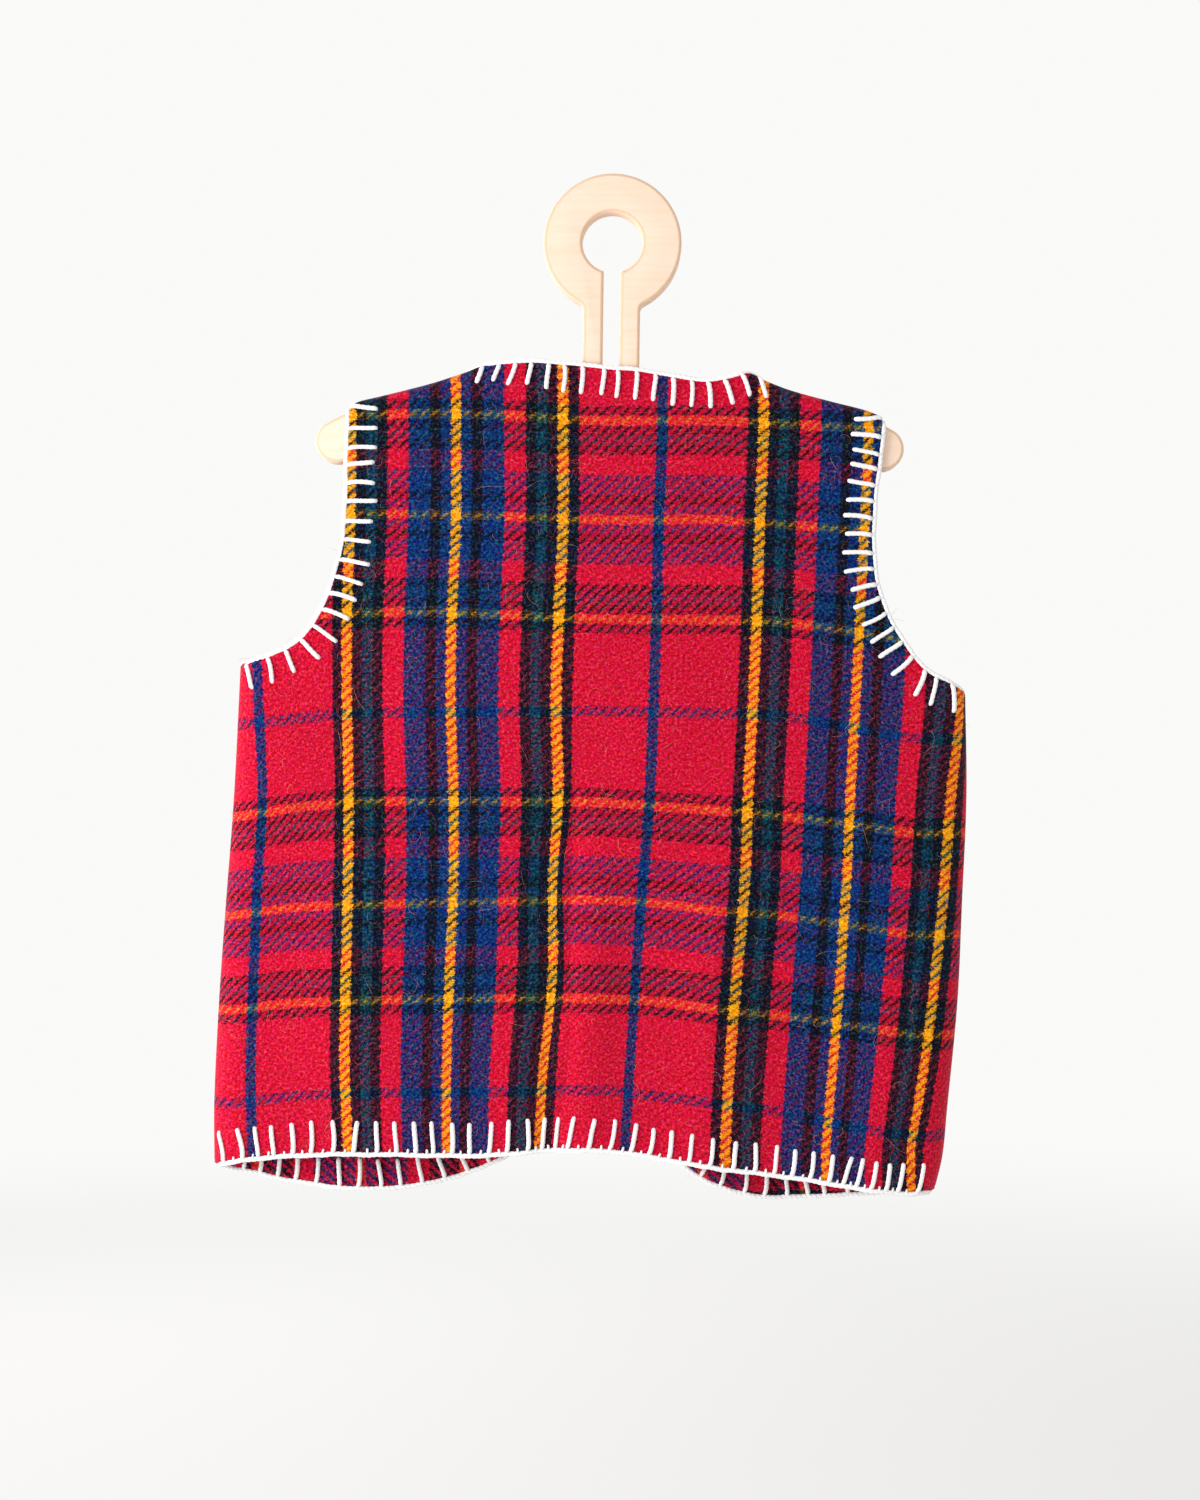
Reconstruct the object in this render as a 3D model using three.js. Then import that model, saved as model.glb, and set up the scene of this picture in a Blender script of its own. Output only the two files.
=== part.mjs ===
// A child's vest of thick felted wool, hanging on a plywood hanger with its back outwards.
// Millimetres. X runs to the wearer's right, Y from the back of the vest to its fronts, Z up.
// The origin is the top of the eye in the hanger, where a peg carries the weight.
import * as THREE from "three";

// Cloth
const WALL = 2.5;
const SEAM_GAP = 0.3;
const SHOULDER_DEPTH = 7.6;
const BODY_DEPTH = 11.5;
const SHOULDER_Z = -125;
const BODY_Z = -330;
// How the cloth turns from the back to the fronts: over the shoulder, and at the folded sides.
const RIDGE_TURN = { reach: 8, power: 3.5 };
const SIDE_TURN = { reach: 14, power: 2 };
const TURN_STEPS = 4;
// The neckline lifts off the shoulder ridge between these places.
const NECK_LEFT = { closed: -75, open: -62 };
const NECK_RIGHT = { closed: 76, open: 62 };

// Corners of the cut pieces, seen from behind
const LEFT_HEM = { x: -197.9, z: -474 };
const RIGHT_HEM = { x: 158.6, z: -485.2 };
const LEFT_UNDERARM = { x: -184.9, z: -226.1 };
const RIGHT_UNDERARM = { x: 174.4, z: -243.5 };
const LEFT_TIP = { x: -130.3, z: -97 };
const RIGHT_TIP = { x: 133.4, z: -102.6 };

const leftSide = [
  LEFT_HEM,
  { z: -443, x: -196.9 },
  { z: -393, x: -194.7 },
  { z: -343, x: -191.2 },
  { z: -293, x: -187.7 },
  LEFT_UNDERARM,
];
const rightSide = [
  RIGHT_HEM,
  { z: -448, x: 164.8 },
  { z: -393, x: 170.3 },
  { z: -343, x: 172.3 },
  { z: -290, x: 174.8 },
  RIGHT_UNDERARM,
];
const leftArmhole = [
  LEFT_UNDERARM,
  { x: -169.7, z: -221.3 },
  { x: -157, z: -215 },
  { x: -146.6, z: -202.7 },
  { x: -139.6, z: -186.6 },
  { x: -133.9, z: -165.5 },
  { x: -132, z: -141 },
  { x: -131.6, z: -115 },
  LEFT_TIP,
];
const rightArmhole = [
  RIGHT_UNDERARM,
  { x: 166, z: -235 },
  { x: 156, z: -230 },
  { x: 146, z: -218 },
  { x: 135.5, z: -200 },
  { x: 130, z: -181.5 },
  { x: 128.7, z: -160 },
  { x: 130, z: -138 },
  { x: 133, z: -115 },
  RIGHT_TIP,
];
// The top of the back: left shoulder, neck, right shoulder
const topOfBack = [
  LEFT_TIP,
  { x: -126, z: -95 },
  { x: -115.5, z: -92.5 },
  { x: -91, z: -86.3 },
  { x: -75, z: -81.2 },
  { x: -66, z: -78.2 },
  { x: -56, z: -76.3 },
  { x: -42, z: -75.5 },
  { x: -28, z: -76.2 },
  { x: 0, z: -78.9 },
  { x: 14, z: -80 },
  { x: 36, z: -83.9 },
  { x: 47, z: -84.9 },
  { x: 58, z: -83.3 },
  { x: 67, z: -81.2 },
  { x: 76, z: -84.9 },
  { x: 87.5, z: -89.3 },
  { x: 106.5, z: -94.6 },
  { x: 126, z: -99.6 },
  RIGHT_TIP,
];
const hemOfBack = [
  LEFT_HEM,
  { x: -185, z: -470.4 },
  { x: -163, z: -468.1 },
  { x: -128, z: -466.9 },
  { x: -69, z: -467.9 },
  { x: -36, z: -465.9 },
  { x: -11.5, z: -465 },
  { x: 5.4, z: -466.4 },
  { x: 47, z: -473.3 },
  { x: 103, z: -480.2 },
  { x: 140, z: -484.8 },
  RIGHT_HEM,
];

// Each front: straight hem from the side, quarter ellipse at the open corner, then edge and neckline.
const leftFrontCut = {
  hem: [
    LEFT_HEM,
    { x: -190, z: -478 },
    { x: -177.6, z: -480.5 },
    { x: -166, z: -483.3 },
    { x: -147.8, z: -485.9 },
    { x: -130, z: -487.5 },
    { x: -118, z: -487.7 },
  ],
  corner: { width: 106, height: 80 },
  edge: [
    { x: -12, z: -407.7 },
    { x: -9.5, z: -300 },
    { x: -7.2, z: -205 },
    { x: -11, z: -182 },
    { x: -34, z: -157 },
    { x: -53, z: -130 },
    { x: -67, z: -103 },
    { x: -75, z: -81.2 },
  ],
};
const rightFrontCut = {
  hem: [
    RIGHT_HEM,
    { x: 146, z: -488.2 },
    { x: 130.3, z: -489 },
    { x: 105, z: -490.2 },
    { x: 84, z: -490.9 },
  ],
  corner: { width: 88, height: 100 },
  edge: [
    { x: -4, z: -390.9 },
    { x: -1.5, z: -300 },
    { x: 0.8, z: -205 },
    { x: 6, z: -184 },
    { x: 32, z: -160 },
    { x: 52, z: -133 },
    { x: 67, z: -106 },
    { x: 76, z: -84.9 },
  ],
};

// Soft folds that run down the cloth: hollows have a negative height.
const backFolds = [
  { top: -262, topX: -25, footX: -33, halfWidth: 9, height: -3.6 },
  { top: -270, topX: -6, footX: -14, halfWidth: 12, height: 2.4 },
  { top: -255, topX: 62, footX: 42, halfWidth: 15, height: 2.6 },
  { top: -300, topX: 96, footX: 84, halfWidth: 16, height: -2 },
  { top: -262, topX: -118, footX: -132, halfWidth: 22, height: 2 },
  { top: -262, topX: 138, footX: 128, halfWidth: 16, height: 1.8 },
];
const leftFrontFolds = [
  { top: -250, topX: -62, footX: -78, halfWidth: 14, height: 2.6 },
  { top: -280, topX: -120, footX: -134, halfWidth: 18, height: -2.4 },
];
const rightFrontFolds = [
  { top: -245, topX: 52, footX: 46, halfWidth: 14, height: -2.6 },
  { top: -270, topX: 104, footX: 96, halfWidth: 18, height: 2.4 },
];
const FOLD_FOOT_Z = -490;
const FOLD_START_SHARE = 0.45;
const FOLD_CLEAR = { from: 8, to: 34 };

// How finely each piece is divided
const UNDERARM_SHARE = 0.6;
const SIDE_ROWS = 11;
const ARMHOLE_ROWS = 8;
const BACK_COLUMNS = 32;
const FRONT_COLUMNS = 12;
const ARMHOLE_LENGTH = 160;
const BACK_WIDTH = 360;
const FRONT_WIDTH = 160;
const CURVE_DIVISIONS = 600;
const CORNER_STEPS = 5;
const FACET = 5.5;
const FEWEST_FACETS = 4;
const SAME_PLACE = 0.01;

// Hanger: one board with an eye, two legs and a yoke
const PLY = 12;
const PLY_ROUND = 2.5;
const PLY_ROUND_STEPS = 2;
const HANGER_TILT = THREE.MathUtils.degToRad(0.8);
const EYE_RADIUS = 15;
const RING_RADIUS = 34.4;
const LEG_HALF = 14.2;
const SLOT_HALF = 4.15;
const SLOT_FOOT_Z = -75;
const NECK_FILLET = 4;
const FOOT_FILLET = 6;
const YOKE_TOP_Z = -84.6;
const TIP = { x: 135.8, z: -116, radius: 10.7, from: 1.08, to: -1.815 };
const armTop = [
  { x: 45, z: -84.8 },
  { x: 62, z: -85.9 },
  { x: 75, z: -87.8 },
  { x: 87.5, z: -90.5 },
  { x: 106.5, z: -95.3 },
  { x: 126, z: -100.2 },
  { x: 134, z: -103 },
];
const armUnderside = [
  { x: 96, z: -117.6 },
  { x: 62, z: -109.8 },
  { x: 32, z: -106.6 },
  { x: 0, z: -106 },
];

const clothMaterial = new THREE.MeshStandardMaterial({ color: 0xb0202f, roughness: 0.95, metalness: 0 });
const plyMaterial = new THREE.MeshStandardMaterial({ color: 0xe6cfa2, roughness: 0.6, metalness: 0 });

const steps = (count) => [...Array(count + 1).keys()].map((step) => step / count);
const asPoint = ({ x, z }) => new THREE.Vector2(x, z);

// A smooth reading of a table: the column `to` where the column `from` has the value asked for.
function reading(rows, from, to) {
  const sorted = [...rows].sort((a, b) => a[from] - b[from]);
  const last = sorted.length - 1;
  const slopes = sorted.map((row, i) => {
    const before = sorted[Math.max(i - 1, 0)];
    const after = sorted[Math.min(i + 1, last)];
    return (after[to] - before[to]) / (after[from] - before[from]);
  });
  return (asked) => {
    const value = THREE.MathUtils.clamp(asked, sorted[0][from], sorted[last][from]);
    const i = Math.min(Math.max(sorted.findIndex((row) => row[from] >= value) - 1, 0), last - 1);
    const span = sorted[i + 1][from] - sorted[i][from];
    const t = (value - sorted[i][from]) / span;
    const start = sorted[i][to] * (1 + 2 * t) * (1 - t) ** 2 + slopes[i] * span * t * (1 - t) ** 2;
    const end = sorted[i + 1][to] * t * t * (3 - 2 * t) + slopes[i + 1] * span * t * t * (t - 1);
    return start + end;
  };
}

const leftSideX = reading(leftSide, "z", "x");
const rightSideX = reading(rightSide, "z", "x");
const topZ = reading(topOfBack, "x", "z");
const hemZ = reading(hemOfBack, "x", "z");

// From 0 at the line where the cloth turns to 1 at the end of the turn, as a superellipse.
function closing(distance, { reach, power }) {
  const left = 1 - THREE.MathUtils.clamp(distance / reach, 0, 1);
  return (1 - left ** power) ** (1 / power);
}

// The soft folds, faded out towards the turned sides.
function relief(folds, x, z) {
  const inside = Math.min(x - leftSideX(z), rightSideX(z) - x);
  const fade = THREE.MathUtils.smoothstep(inside, FOLD_CLEAR.from, FOLD_CLEAR.to);
  const heights = folds.map((fold) => {
    const along = THREE.MathUtils.clamp((fold.top - z) / (fold.top - FOLD_FOOT_Z), 0, 1);
    const across = (x - THREE.MathUtils.lerp(fold.topX, fold.footX, along)) / fold.halfWidth;
    return fold.height * Math.exp(-across * across) * THREE.MathUtils.smoothstep(along, 0, FOLD_START_SHARE);
  });
  return fade * heights.reduce((sum, height) => sum + height, 0);
}

// How far the middle of the cloth stands from the middle of the vest.
function standOff(x, z, shoulderZ, lifted, folds) {
  const fall = THREE.MathUtils.smoothstep(-z, -SHOULDER_Z, -BODY_Z);
  const depth = THREE.MathUtils.lerp(SHOULDER_DEPTH, BODY_DEPTH, fall);
  const side = closing(Math.min(x - leftSideX(z), rightSideX(z) - x), SIDE_TURN);
  const ridge = closing(shoulderZ - z, RIDGE_TURN);
  return SEAM_GAP / 2 + depth * side * (lifted + (1 - lifted) * ridge) + relief(folds, x, z);
}

// How far the neckline of the back has lifted off the shoulder ridge: 0 on the shoulders, 1 across the neck.
function neckLift(x) {
  const left = THREE.MathUtils.smoothstep(x, NECK_LEFT.closed, NECK_LEFT.open);
  const right = THREE.MathUtils.smoothstep(-x, -NECK_RIGHT.closed, -NECK_RIGHT.open);
  return left * right;
}

// A panel's outer edge from hem to shoulder: up the side seam, then round the armhole.
function sideEdge(hem, underarm, sideX, armhole) {
  const curve = new THREE.SplineCurve(armhole.map(asPoint));
  curve.arcLengthDivisions = CURVE_DIVISIONS;
  return (v) => {
    if (v > UNDERARM_SHARE) return curve.getPointAt((v - UNDERARM_SHARE) / (1 - UNDERARM_SHARE));
    const z = THREE.MathUtils.lerp(hem.z, underarm.z, v / UNDERARM_SHARE);
    return new THREE.Vector2(sideX(z), z);
  };
}

// A point inside a panel, blended from its four edges.
function blended({ foot, head, outer, inner }, u, v) {
  const across = outer(v).multiplyScalar(1 - u).addScaledVector(inner(v), u);
  const up = foot(u).multiplyScalar(1 - v).addScaledVector(head(u), v);
  const corners = foot(0).multiplyScalar((1 - u) * (1 - v));
  corners.addScaledVector(foot(1), u * (1 - v));
  corners.addScaledVector(head(0), (1 - u) * v);
  corners.addScaledVector(head(1), u * v);
  return across.add(up).sub(corners);
}

// Places from 0 to 1 along a width: close together where the cloth turns at its ends, even between.
function stations(width, evenSteps, startTurn, endTurn) {
  const turned = ({ reach, power }) =>
    steps(TURN_STEPS).map((t) => (reach / width) * (1 - Math.cos((t * Math.PI) / 2) ** (2 / power)));
  const start = startTurn ? turned(startTurn) : [0];
  const end = endTurn ? turned(endTurn).map((place) => 1 - place).reverse() : [1];
  const between = steps(evenSteps).slice(1, -1);
  return [...start, ...between.map((t) => THREE.MathUtils.lerp(start.at(-1), end[0], t)), ...end];
}

// The rows of a panel from hem to shoulder, the same for back and fronts so that their seams meet.
const rows = [
  ...steps(SIDE_ROWS).map((t) => t * UNDERARM_SHARE),
  ...stations(ARMHOLE_LENGTH, ARMHOLE_ROWS, SIDE_TURN, RIDGE_TURN)
    .slice(1)
    .map((t) => UNDERARM_SHARE + t * (1 - UNDERARM_SHARE)),
];

// The cloth of one panel: its middle surface on a grid, given its wall to both sides along the normals.
// Where it is sewn to its neighbour the wall ends square, so that the two meet face to face, and no
// point passes the seam's plane.
function clothPanel(name, { edges, columns, facing, offset, seams }) {
  const wide = columns.length;
  const high = rows.length;
  const middle = rows.map((v) =>
    columns.map((u) => {
      const { x, y: z } = blended(edges, u, v);
      return new THREE.Vector3(x, facing * offset(x, z), z);
    }),
  );
  const normalAt = (i, j) => {
    const column = THREE.MathUtils.clamp(i, 1, wide - 2);
    const row = THREE.MathUtils.clamp(j, 1, high - 2);
    const across = middle[row][column + 1].clone().sub(middle[row][column - 1]);
    const up = middle[row + 1][column].clone().sub(middle[row - 1][column]);
    const normal = across.cross(up);
    if (normal.y * facing < 0) normal.negate();
    return normal.normalize();
  };
  const squareNormal = (i, j, direction) => {
    const before = middle[Math.max(j - direction.rows, 0)][Math.max(i - direction.columns, 0)];
    const after =
      middle[Math.min(j + direction.rows, high - 1)][Math.min(i + direction.columns, wide - 1)];
    const along = after.clone().sub(before);
    return new THREE.Vector3(-along.z, 0, along.x).multiplyScalar(direction.sign).normalize();
  };
  const positions = [];
  const at = (side, i, j) => (side * high + j) * wide + i;
  for (const side of [1, -1]) {
    for (let j = 0; j < high; j += 1) {
      for (let i = 0; i < wide; i += 1) {
        const seam = seams(i, j, middle[j][i].x);
        const normal = seam ? squareNormal(i, j, seam) : normalAt(i, j);
        const { x, y, z } = middle[j][i].clone().addScaledVector(normal, (side * WALL) / 2);
        positions.push(x, facing * Math.max(facing * y, SEAM_GAP / 2), z);
      }
    }
  }
  const index = [];
  const turned = facing * (middle[0][wide - 1].x - middle[0][0].x) > 0;
  const quad = (a, b, c, d) => index.push(...(turned ? [a, c, b, a, d, c] : [a, b, c, a, c, d]));
  for (let j = 0; j < high - 1; j += 1) {
    for (let i = 0; i < wide - 1; i += 1) {
      quad(at(0, i, j), at(0, i + 1, j), at(0, i + 1, j + 1), at(0, i, j + 1));
      quad(at(1, i, j), at(1, i, j + 1), at(1, i + 1, j + 1), at(1, i + 1, j));
    }
    quad(at(0, 0, j), at(0, 0, j + 1), at(1, 0, j + 1), at(1, 0, j));
    quad(at(0, wide - 1, j), at(1, wide - 1, j), at(1, wide - 1, j + 1), at(0, wide - 1, j + 1));
  }
  for (let i = 0; i < wide - 1; i += 1) {
    quad(at(0, i, 0), at(1, i, 0), at(1, i + 1, 0), at(0, i + 1, 0));
    quad(at(0, i, high - 1), at(0, i + 1, high - 1), at(1, i + 1, high - 1), at(1, i, high - 1));
  }
  const geometry = new THREE.BufferGeometry();
  geometry.setAttribute("position", new THREE.Float32BufferAttribute(positions, 3));
  geometry.setIndex(index);
  geometry.computeVertexNormals();
  const mesh = new THREE.Mesh(geometry, clothMaterial.clone());
  mesh.name = name;
  return mesh;
}

// The directions in which a wall is squared: outwards at either side seam, upwards on the shoulder.
const SQUARE = {
  left: { rows: 1, columns: 0, sign: 1 },
  right: { rows: 1, columns: 0, sign: -1 },
  shoulder: { rows: 0, columns: 1, sign: 1 },
  shoulderReversed: { rows: 0, columns: 1, sign: -1 },
};
const isSideRow = (j) => rows[j] <= UNDERARM_SHARE;

const leftEdge = sideEdge(LEFT_HEM, LEFT_UNDERARM, leftSideX, leftArmhole);
const rightEdge = sideEdge(RIGHT_HEM, RIGHT_UNDERARM, rightSideX, rightArmhole);

function backPanel() {
  const columns = stations(BACK_WIDTH, BACK_COLUMNS, SIDE_TURN, SIDE_TURN);
  const level = (from, to, height) => (u) => {
    const x = THREE.MathUtils.lerp(from.x, to.x, u);
    return new THREE.Vector2(x, height(x));
  };
  return clothPanel("back", {
    edges: {
      foot: level(LEFT_HEM, RIGHT_HEM, hemZ),
      head: level(LEFT_TIP, RIGHT_TIP, topZ),
      outer: leftEdge,
      inner: rightEdge,
    },
    columns,
    facing: -1,
    offset: (x, z) => standOff(x, z, topZ(x), neckLift(x), backFolds),
    seams: (i, j, x) => {
      if (j === rows.length - 1 && neckLift(x) === 0) return SQUARE.shoulder;
      if (isSideRow(j) && i === 0) return SQUARE.left;
      return isSideRow(j) && i === columns.length - 1 ? SQUARE.right : null;
    },
  });
}

// A front runs from its side seam (u = 0) to its open edge (u = 1). The rounded corner is shared
// between the hem below and the open edge beside it.
function frontPanel(name, side) {
  const { cut, outer, tip, neckX, folds, square, shoulder } = side;
  const inward = Math.sign(-tip.x);
  const low = cut.hem.at(-1);
  const arc = (from, to) => {
    const centre = { x: low.x, z: low.z + cut.corner.height };
    return steps(CORNER_STEPS).map((t) => {
      const angle = THREE.MathUtils.lerp(from, to, t);
      return new THREE.Vector2(
        centre.x + inward * cut.corner.width * Math.sin(angle),
        centre.z - cut.corner.height * Math.cos(angle),
      );
    });
  };
  const through = (points) => {
    const curve = new THREE.SplineCurve(points);
    curve.arcLengthDivisions = CURVE_DIVISIONS;
    return (t) => curve.getPointAt(t);
  };
  const shoulderZ = (x) => topZ(inward > 0 ? Math.min(x, neckX) : Math.max(x, neckX));
  const columns = stations(FRONT_WIDTH, FRONT_COLUMNS, SIDE_TURN, null);
  return clothPanel(name, {
    edges: {
      foot: through([...cut.hem.slice(0, -1).map(asPoint), ...arc(0, Math.PI / 4)]),
      head: (u) => {
        const x = THREE.MathUtils.lerp(tip.x, neckX, u);
        return new THREE.Vector2(x, topZ(x));
      },
      outer,
      inner: through([...arc(Math.PI / 4, Math.PI / 2).slice(0, -1), ...cut.edge.map(asPoint)]),
    },
    columns,
    facing: 1,
    offset: (x, z) => standOff(x, z, shoulderZ(x), 0, folds),
    seams: (i, j) => {
      if (j === rows.length - 1) return shoulder;
      return isSideRow(j) && i === 0 ? square : null;
    },
  });
}

// The hanger's outline: ring, leg, arm top, tip and underside of one half, then its mirror image.
function hanger() {
  const half = new THREE.Path();
  const filletX = LEG_HALF + NECK_FILLET;
  const filletDrop = Math.sqrt((RING_RADIUS + NECK_FILLET) ** 2 - filletX ** 2);
  const meeting = Math.atan2(filletDrop, -filletX);
  half.absarc(0, -EYE_RADIUS, RING_RADIUS, Math.PI / 2, meeting - Math.PI, true);
  half.absarc(filletX, -EYE_RADIUS - filletDrop, NECK_FILLET, meeting, Math.PI, false);
  half.absarc(LEG_HALF + FOOT_FILLET, YOKE_TOP_Z + FOOT_FILLET, FOOT_FILLET, Math.PI, 1.5 * Math.PI, false);
  const tipStart = new THREE.Vector2(
    TIP.x + TIP.radius * Math.cos(TIP.from),
    TIP.z + TIP.radius * Math.sin(TIP.from),
  );
  half.splineThru([...armTop.map(asPoint), tipStart]);
  half.absarc(TIP.x, TIP.z, TIP.radius, TIP.from, TIP.to, true);
  half.splineThru(armUnderside.map(asPoint));

  const right = distinct(half.curves.flatMap(curvePoints));
  const left = right.slice(1, -1).map(({ x, y }) => new THREE.Vector2(-x, y)).reverse();
  const board = new THREE.Shape([...right, ...left]);
  const eye = new THREE.Path();
  const mouth = Math.asin(SLOT_HALF / EYE_RADIUS);
  eye.absarc(0, -EYE_RADIUS, EYE_RADIUS, mouth - Math.PI / 2, 1.5 * Math.PI - mouth, false);
  eye.absarc(0, SLOT_FOOT_Z, SLOT_HALF, Math.PI, 2 * Math.PI, false);
  board.holes.push(new THREE.Path(distinct(eye.curves.flatMap(curvePoints))));
  const geometry = new THREE.ExtrudeGeometry(board, {
    depth: PLY - 2 * PLY_ROUND,
    bevelThickness: PLY_ROUND,
    bevelSize: PLY_ROUND,
    bevelOffset: -PLY_ROUND,
    bevelSegments: PLY_ROUND_STEPS,
  });
  geometry.translate(0, 0, PLY_ROUND - PLY / 2);
  geometry.rotateX(Math.PI / 2);
  const mesh = new THREE.Mesh(geometry, plyMaterial);
  mesh.name = "hanger";
  mesh.rotation.y = HANGER_TILT;
  return mesh;
}

// A straight line keeps its two ends. An arc or spline is divided evenly.
function curvePoints(curve) {
  const count = Math.max(FEWEST_FACETS, Math.ceil(curve.getLength() / FACET));
  return curve.isLineCurve ? curve.getPoints(1) : curve.getSpacedPoints(count);
}

// The points of an outline without those that repeat the one before.
function distinct(points) {
  return points.filter((point, i) => i === 0 || point.distanceTo(points[i - 1]) > SAME_PLACE);
}

const vest = new THREE.Group();
vest.add(
  backPanel(),
  frontPanel("left_front", {
    cut: leftFrontCut,
    outer: leftEdge,
    tip: LEFT_TIP,
    neckX: NECK_LEFT.closed,
    folds: leftFrontFolds,
    square: SQUARE.left,
    shoulder: SQUARE.shoulder,
  }),
  frontPanel("right_front", {
    cut: rightFrontCut,
    outer: rightEdge,
    tip: RIGHT_TIP,
    neckX: NECK_RIGHT.closed,
    folds: rightFrontFolds,
    square: SQUARE.right,
    shoulder: SQUARE.shoulderReversed,
  }),
  hanger(),
);

export default vest;
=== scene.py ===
"""A child's checked wool vest on a plywood hanger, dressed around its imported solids.

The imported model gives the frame: X to the wearer's right, Y from the vest's back to its fronts, Z up,
with the origin at the top of the hanger's eye. Cloth, yarn and board are worked out in millimetres,
as surfaces of two parameters, and become meshes in metres.
"""

import logging
import math
from collections.abc import Callable, Iterable, Sequence
from dataclasses import dataclass, field
from enum import Enum

import bpy
import numpy as np
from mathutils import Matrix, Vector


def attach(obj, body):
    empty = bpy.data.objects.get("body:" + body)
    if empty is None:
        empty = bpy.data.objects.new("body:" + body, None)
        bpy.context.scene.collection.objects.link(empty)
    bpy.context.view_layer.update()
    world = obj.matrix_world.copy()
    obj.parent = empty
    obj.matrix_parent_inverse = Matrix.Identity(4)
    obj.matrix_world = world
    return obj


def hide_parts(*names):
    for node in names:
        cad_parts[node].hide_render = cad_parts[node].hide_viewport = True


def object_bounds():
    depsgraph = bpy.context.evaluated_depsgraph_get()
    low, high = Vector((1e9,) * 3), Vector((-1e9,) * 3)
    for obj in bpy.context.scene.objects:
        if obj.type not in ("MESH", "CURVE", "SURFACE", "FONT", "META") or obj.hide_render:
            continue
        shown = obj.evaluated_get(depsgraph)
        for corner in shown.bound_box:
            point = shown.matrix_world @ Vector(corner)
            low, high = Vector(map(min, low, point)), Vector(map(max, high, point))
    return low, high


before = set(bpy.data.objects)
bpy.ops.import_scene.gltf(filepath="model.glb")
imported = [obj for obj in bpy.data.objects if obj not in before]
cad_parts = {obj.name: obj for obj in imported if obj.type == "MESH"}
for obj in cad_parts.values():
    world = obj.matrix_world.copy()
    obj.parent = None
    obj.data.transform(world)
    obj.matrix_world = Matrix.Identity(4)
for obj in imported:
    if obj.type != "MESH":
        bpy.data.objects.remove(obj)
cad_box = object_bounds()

Array = np.ndarray
Point = tuple[float, float]
Curve = Callable[[Array], Array]
Colour = tuple[float, float, float, float]

log = logging.getLogger("vest")

MM = 0.001
BODY = "root"

# Cloth
WALL = 2.5
SHOULDER_DEPTH = 7.6
BODY_DEPTH = 11.5
SHOULDER_Z = -125.0
BODY_Z = -330.0
SURFACE_STEP = 0.4
# How much thinner the cloth is at a free edge, and how far its rounded edge stands out
PINCH = 0.55
EDGE_BULGE = 0.3

# Corners of the cut pieces, as (x, z) seen from behind
LEFT_HEM = (-197.9, -474.0)
RIGHT_HEM = (159.4, -487.0)
LEFT_UNDERARM = (-184.9, -226.1)
RIGHT_UNDERARM = (174.8, -240.6)
LEFT_TIP = (-130.3, -97.0)
RIGHT_TIP = (133.4, -102.6)
LEFT_NECK_X = -75.0
RIGHT_NECK_X = 76.0
NECK_RISE = 13.5

LEFT_SIDE = (
    LEFT_HEM, (-198.0, -443), (-195.6, -393), (-192.1, -343), (-188.3, -293), LEFT_UNDERARM,
)
RIGHT_SIDE = (
    RIGHT_HEM, (163.4, -470), (165.6, -448), (170.9, -393), (173.2, -343), (175.4, -290),
    RIGHT_UNDERARM,
)
LEFT_ARMHOLE = (
    LEFT_UNDERARM, (-169.7, -221.3), (-157, -215), (-146.6, -202.7), (-139.6, -186.6),
    (-133.9, -165.5), (-132, -141), (-131.6, -115), LEFT_TIP,
)
RIGHT_ARMHOLE = (
    RIGHT_UNDERARM, (172.4, -237.4), (166, -234.4), (156, -229.4), (146, -218), (135.5, -200),
    (130, -181.5), (128.7, -160), (130, -138), (133, -115), RIGHT_TIP,
)
TOP_OF_BACK = (
    LEFT_TIP, (-126, -95), (-115.5, -92.5), (-91, -86.3), (-75, -81.2), (-66, -78.2), (-56, -76.3),
    (-42, -75.5), (-28, -76.2), (0, -78.9), (14, -80), (36, -83.9), (47, -84.9), (58, -83.3),
    (67, -81.2), (76, -84.9), (87.5, -89.3), (106.5, -94.6), (126, -99.6), RIGHT_TIP,
)
HEM_OF_BACK = (
    LEFT_HEM, (-185, -470.4), (-163, -468.1), (-128, -466.9), (-69, -467.9), (-36, -465.9),
    (-11.5, -465), (5.4, -466.4), (47, -473.3), (103, -481), (140, -486.4), RIGHT_HEM,
)
LEFT_FRONT_HEM = (
    LEFT_HEM, (-190, -478), (-177.6, -480.5), (-166, -483.3), (-147.8, -485.9), (-130, -487.5),
    (-118, -487.7),
)
RIGHT_FRONT_HEM = (
    RIGHT_HEM, (146, -488.8), (130.3, -490.2), (105, -492), (84, -492.8),
)
LEFT_FRONT_EDGE = (
    (-12, -407.7), (-9.5, -300), (-7.2, -205), (-11, -182), (-34, -157), (-53, -130), (-67, -103),
    (LEFT_NECK_X, -81.2),
)
RIGHT_FRONT_EDGE = (
    (-4, -390.9), (-1.5, -300), (0.8, -205), (6, -184), (32, -160), (52, -133), (67, -106),
    (RIGHT_NECK_X, -84.9),
)
# Width and height of the quarter ellipse at each front's lower corner
LEFT_CORNER = (106.0, 80.0)
RIGHT_CORNER = (88.0, 100.0)

# How finely the cloth is divided
UNDERARM_SHARE = 0.6
SIDE_ROWS = 92
ARMHOLE_ROWS = 56
BACK_COLUMNS = 132
FRONT_COLUMNS = 66
ARMHOLE_LENGTH = 160.0
BACK_WIDTH = 360.0
FRONT_WIDTH = 160.0
TURN_STEPS = 12
CORNER_STEPS = 5
LINE_POINTS = 1200
EDGE_POINTS = 400
SAME_PLACE = 0.01


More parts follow.
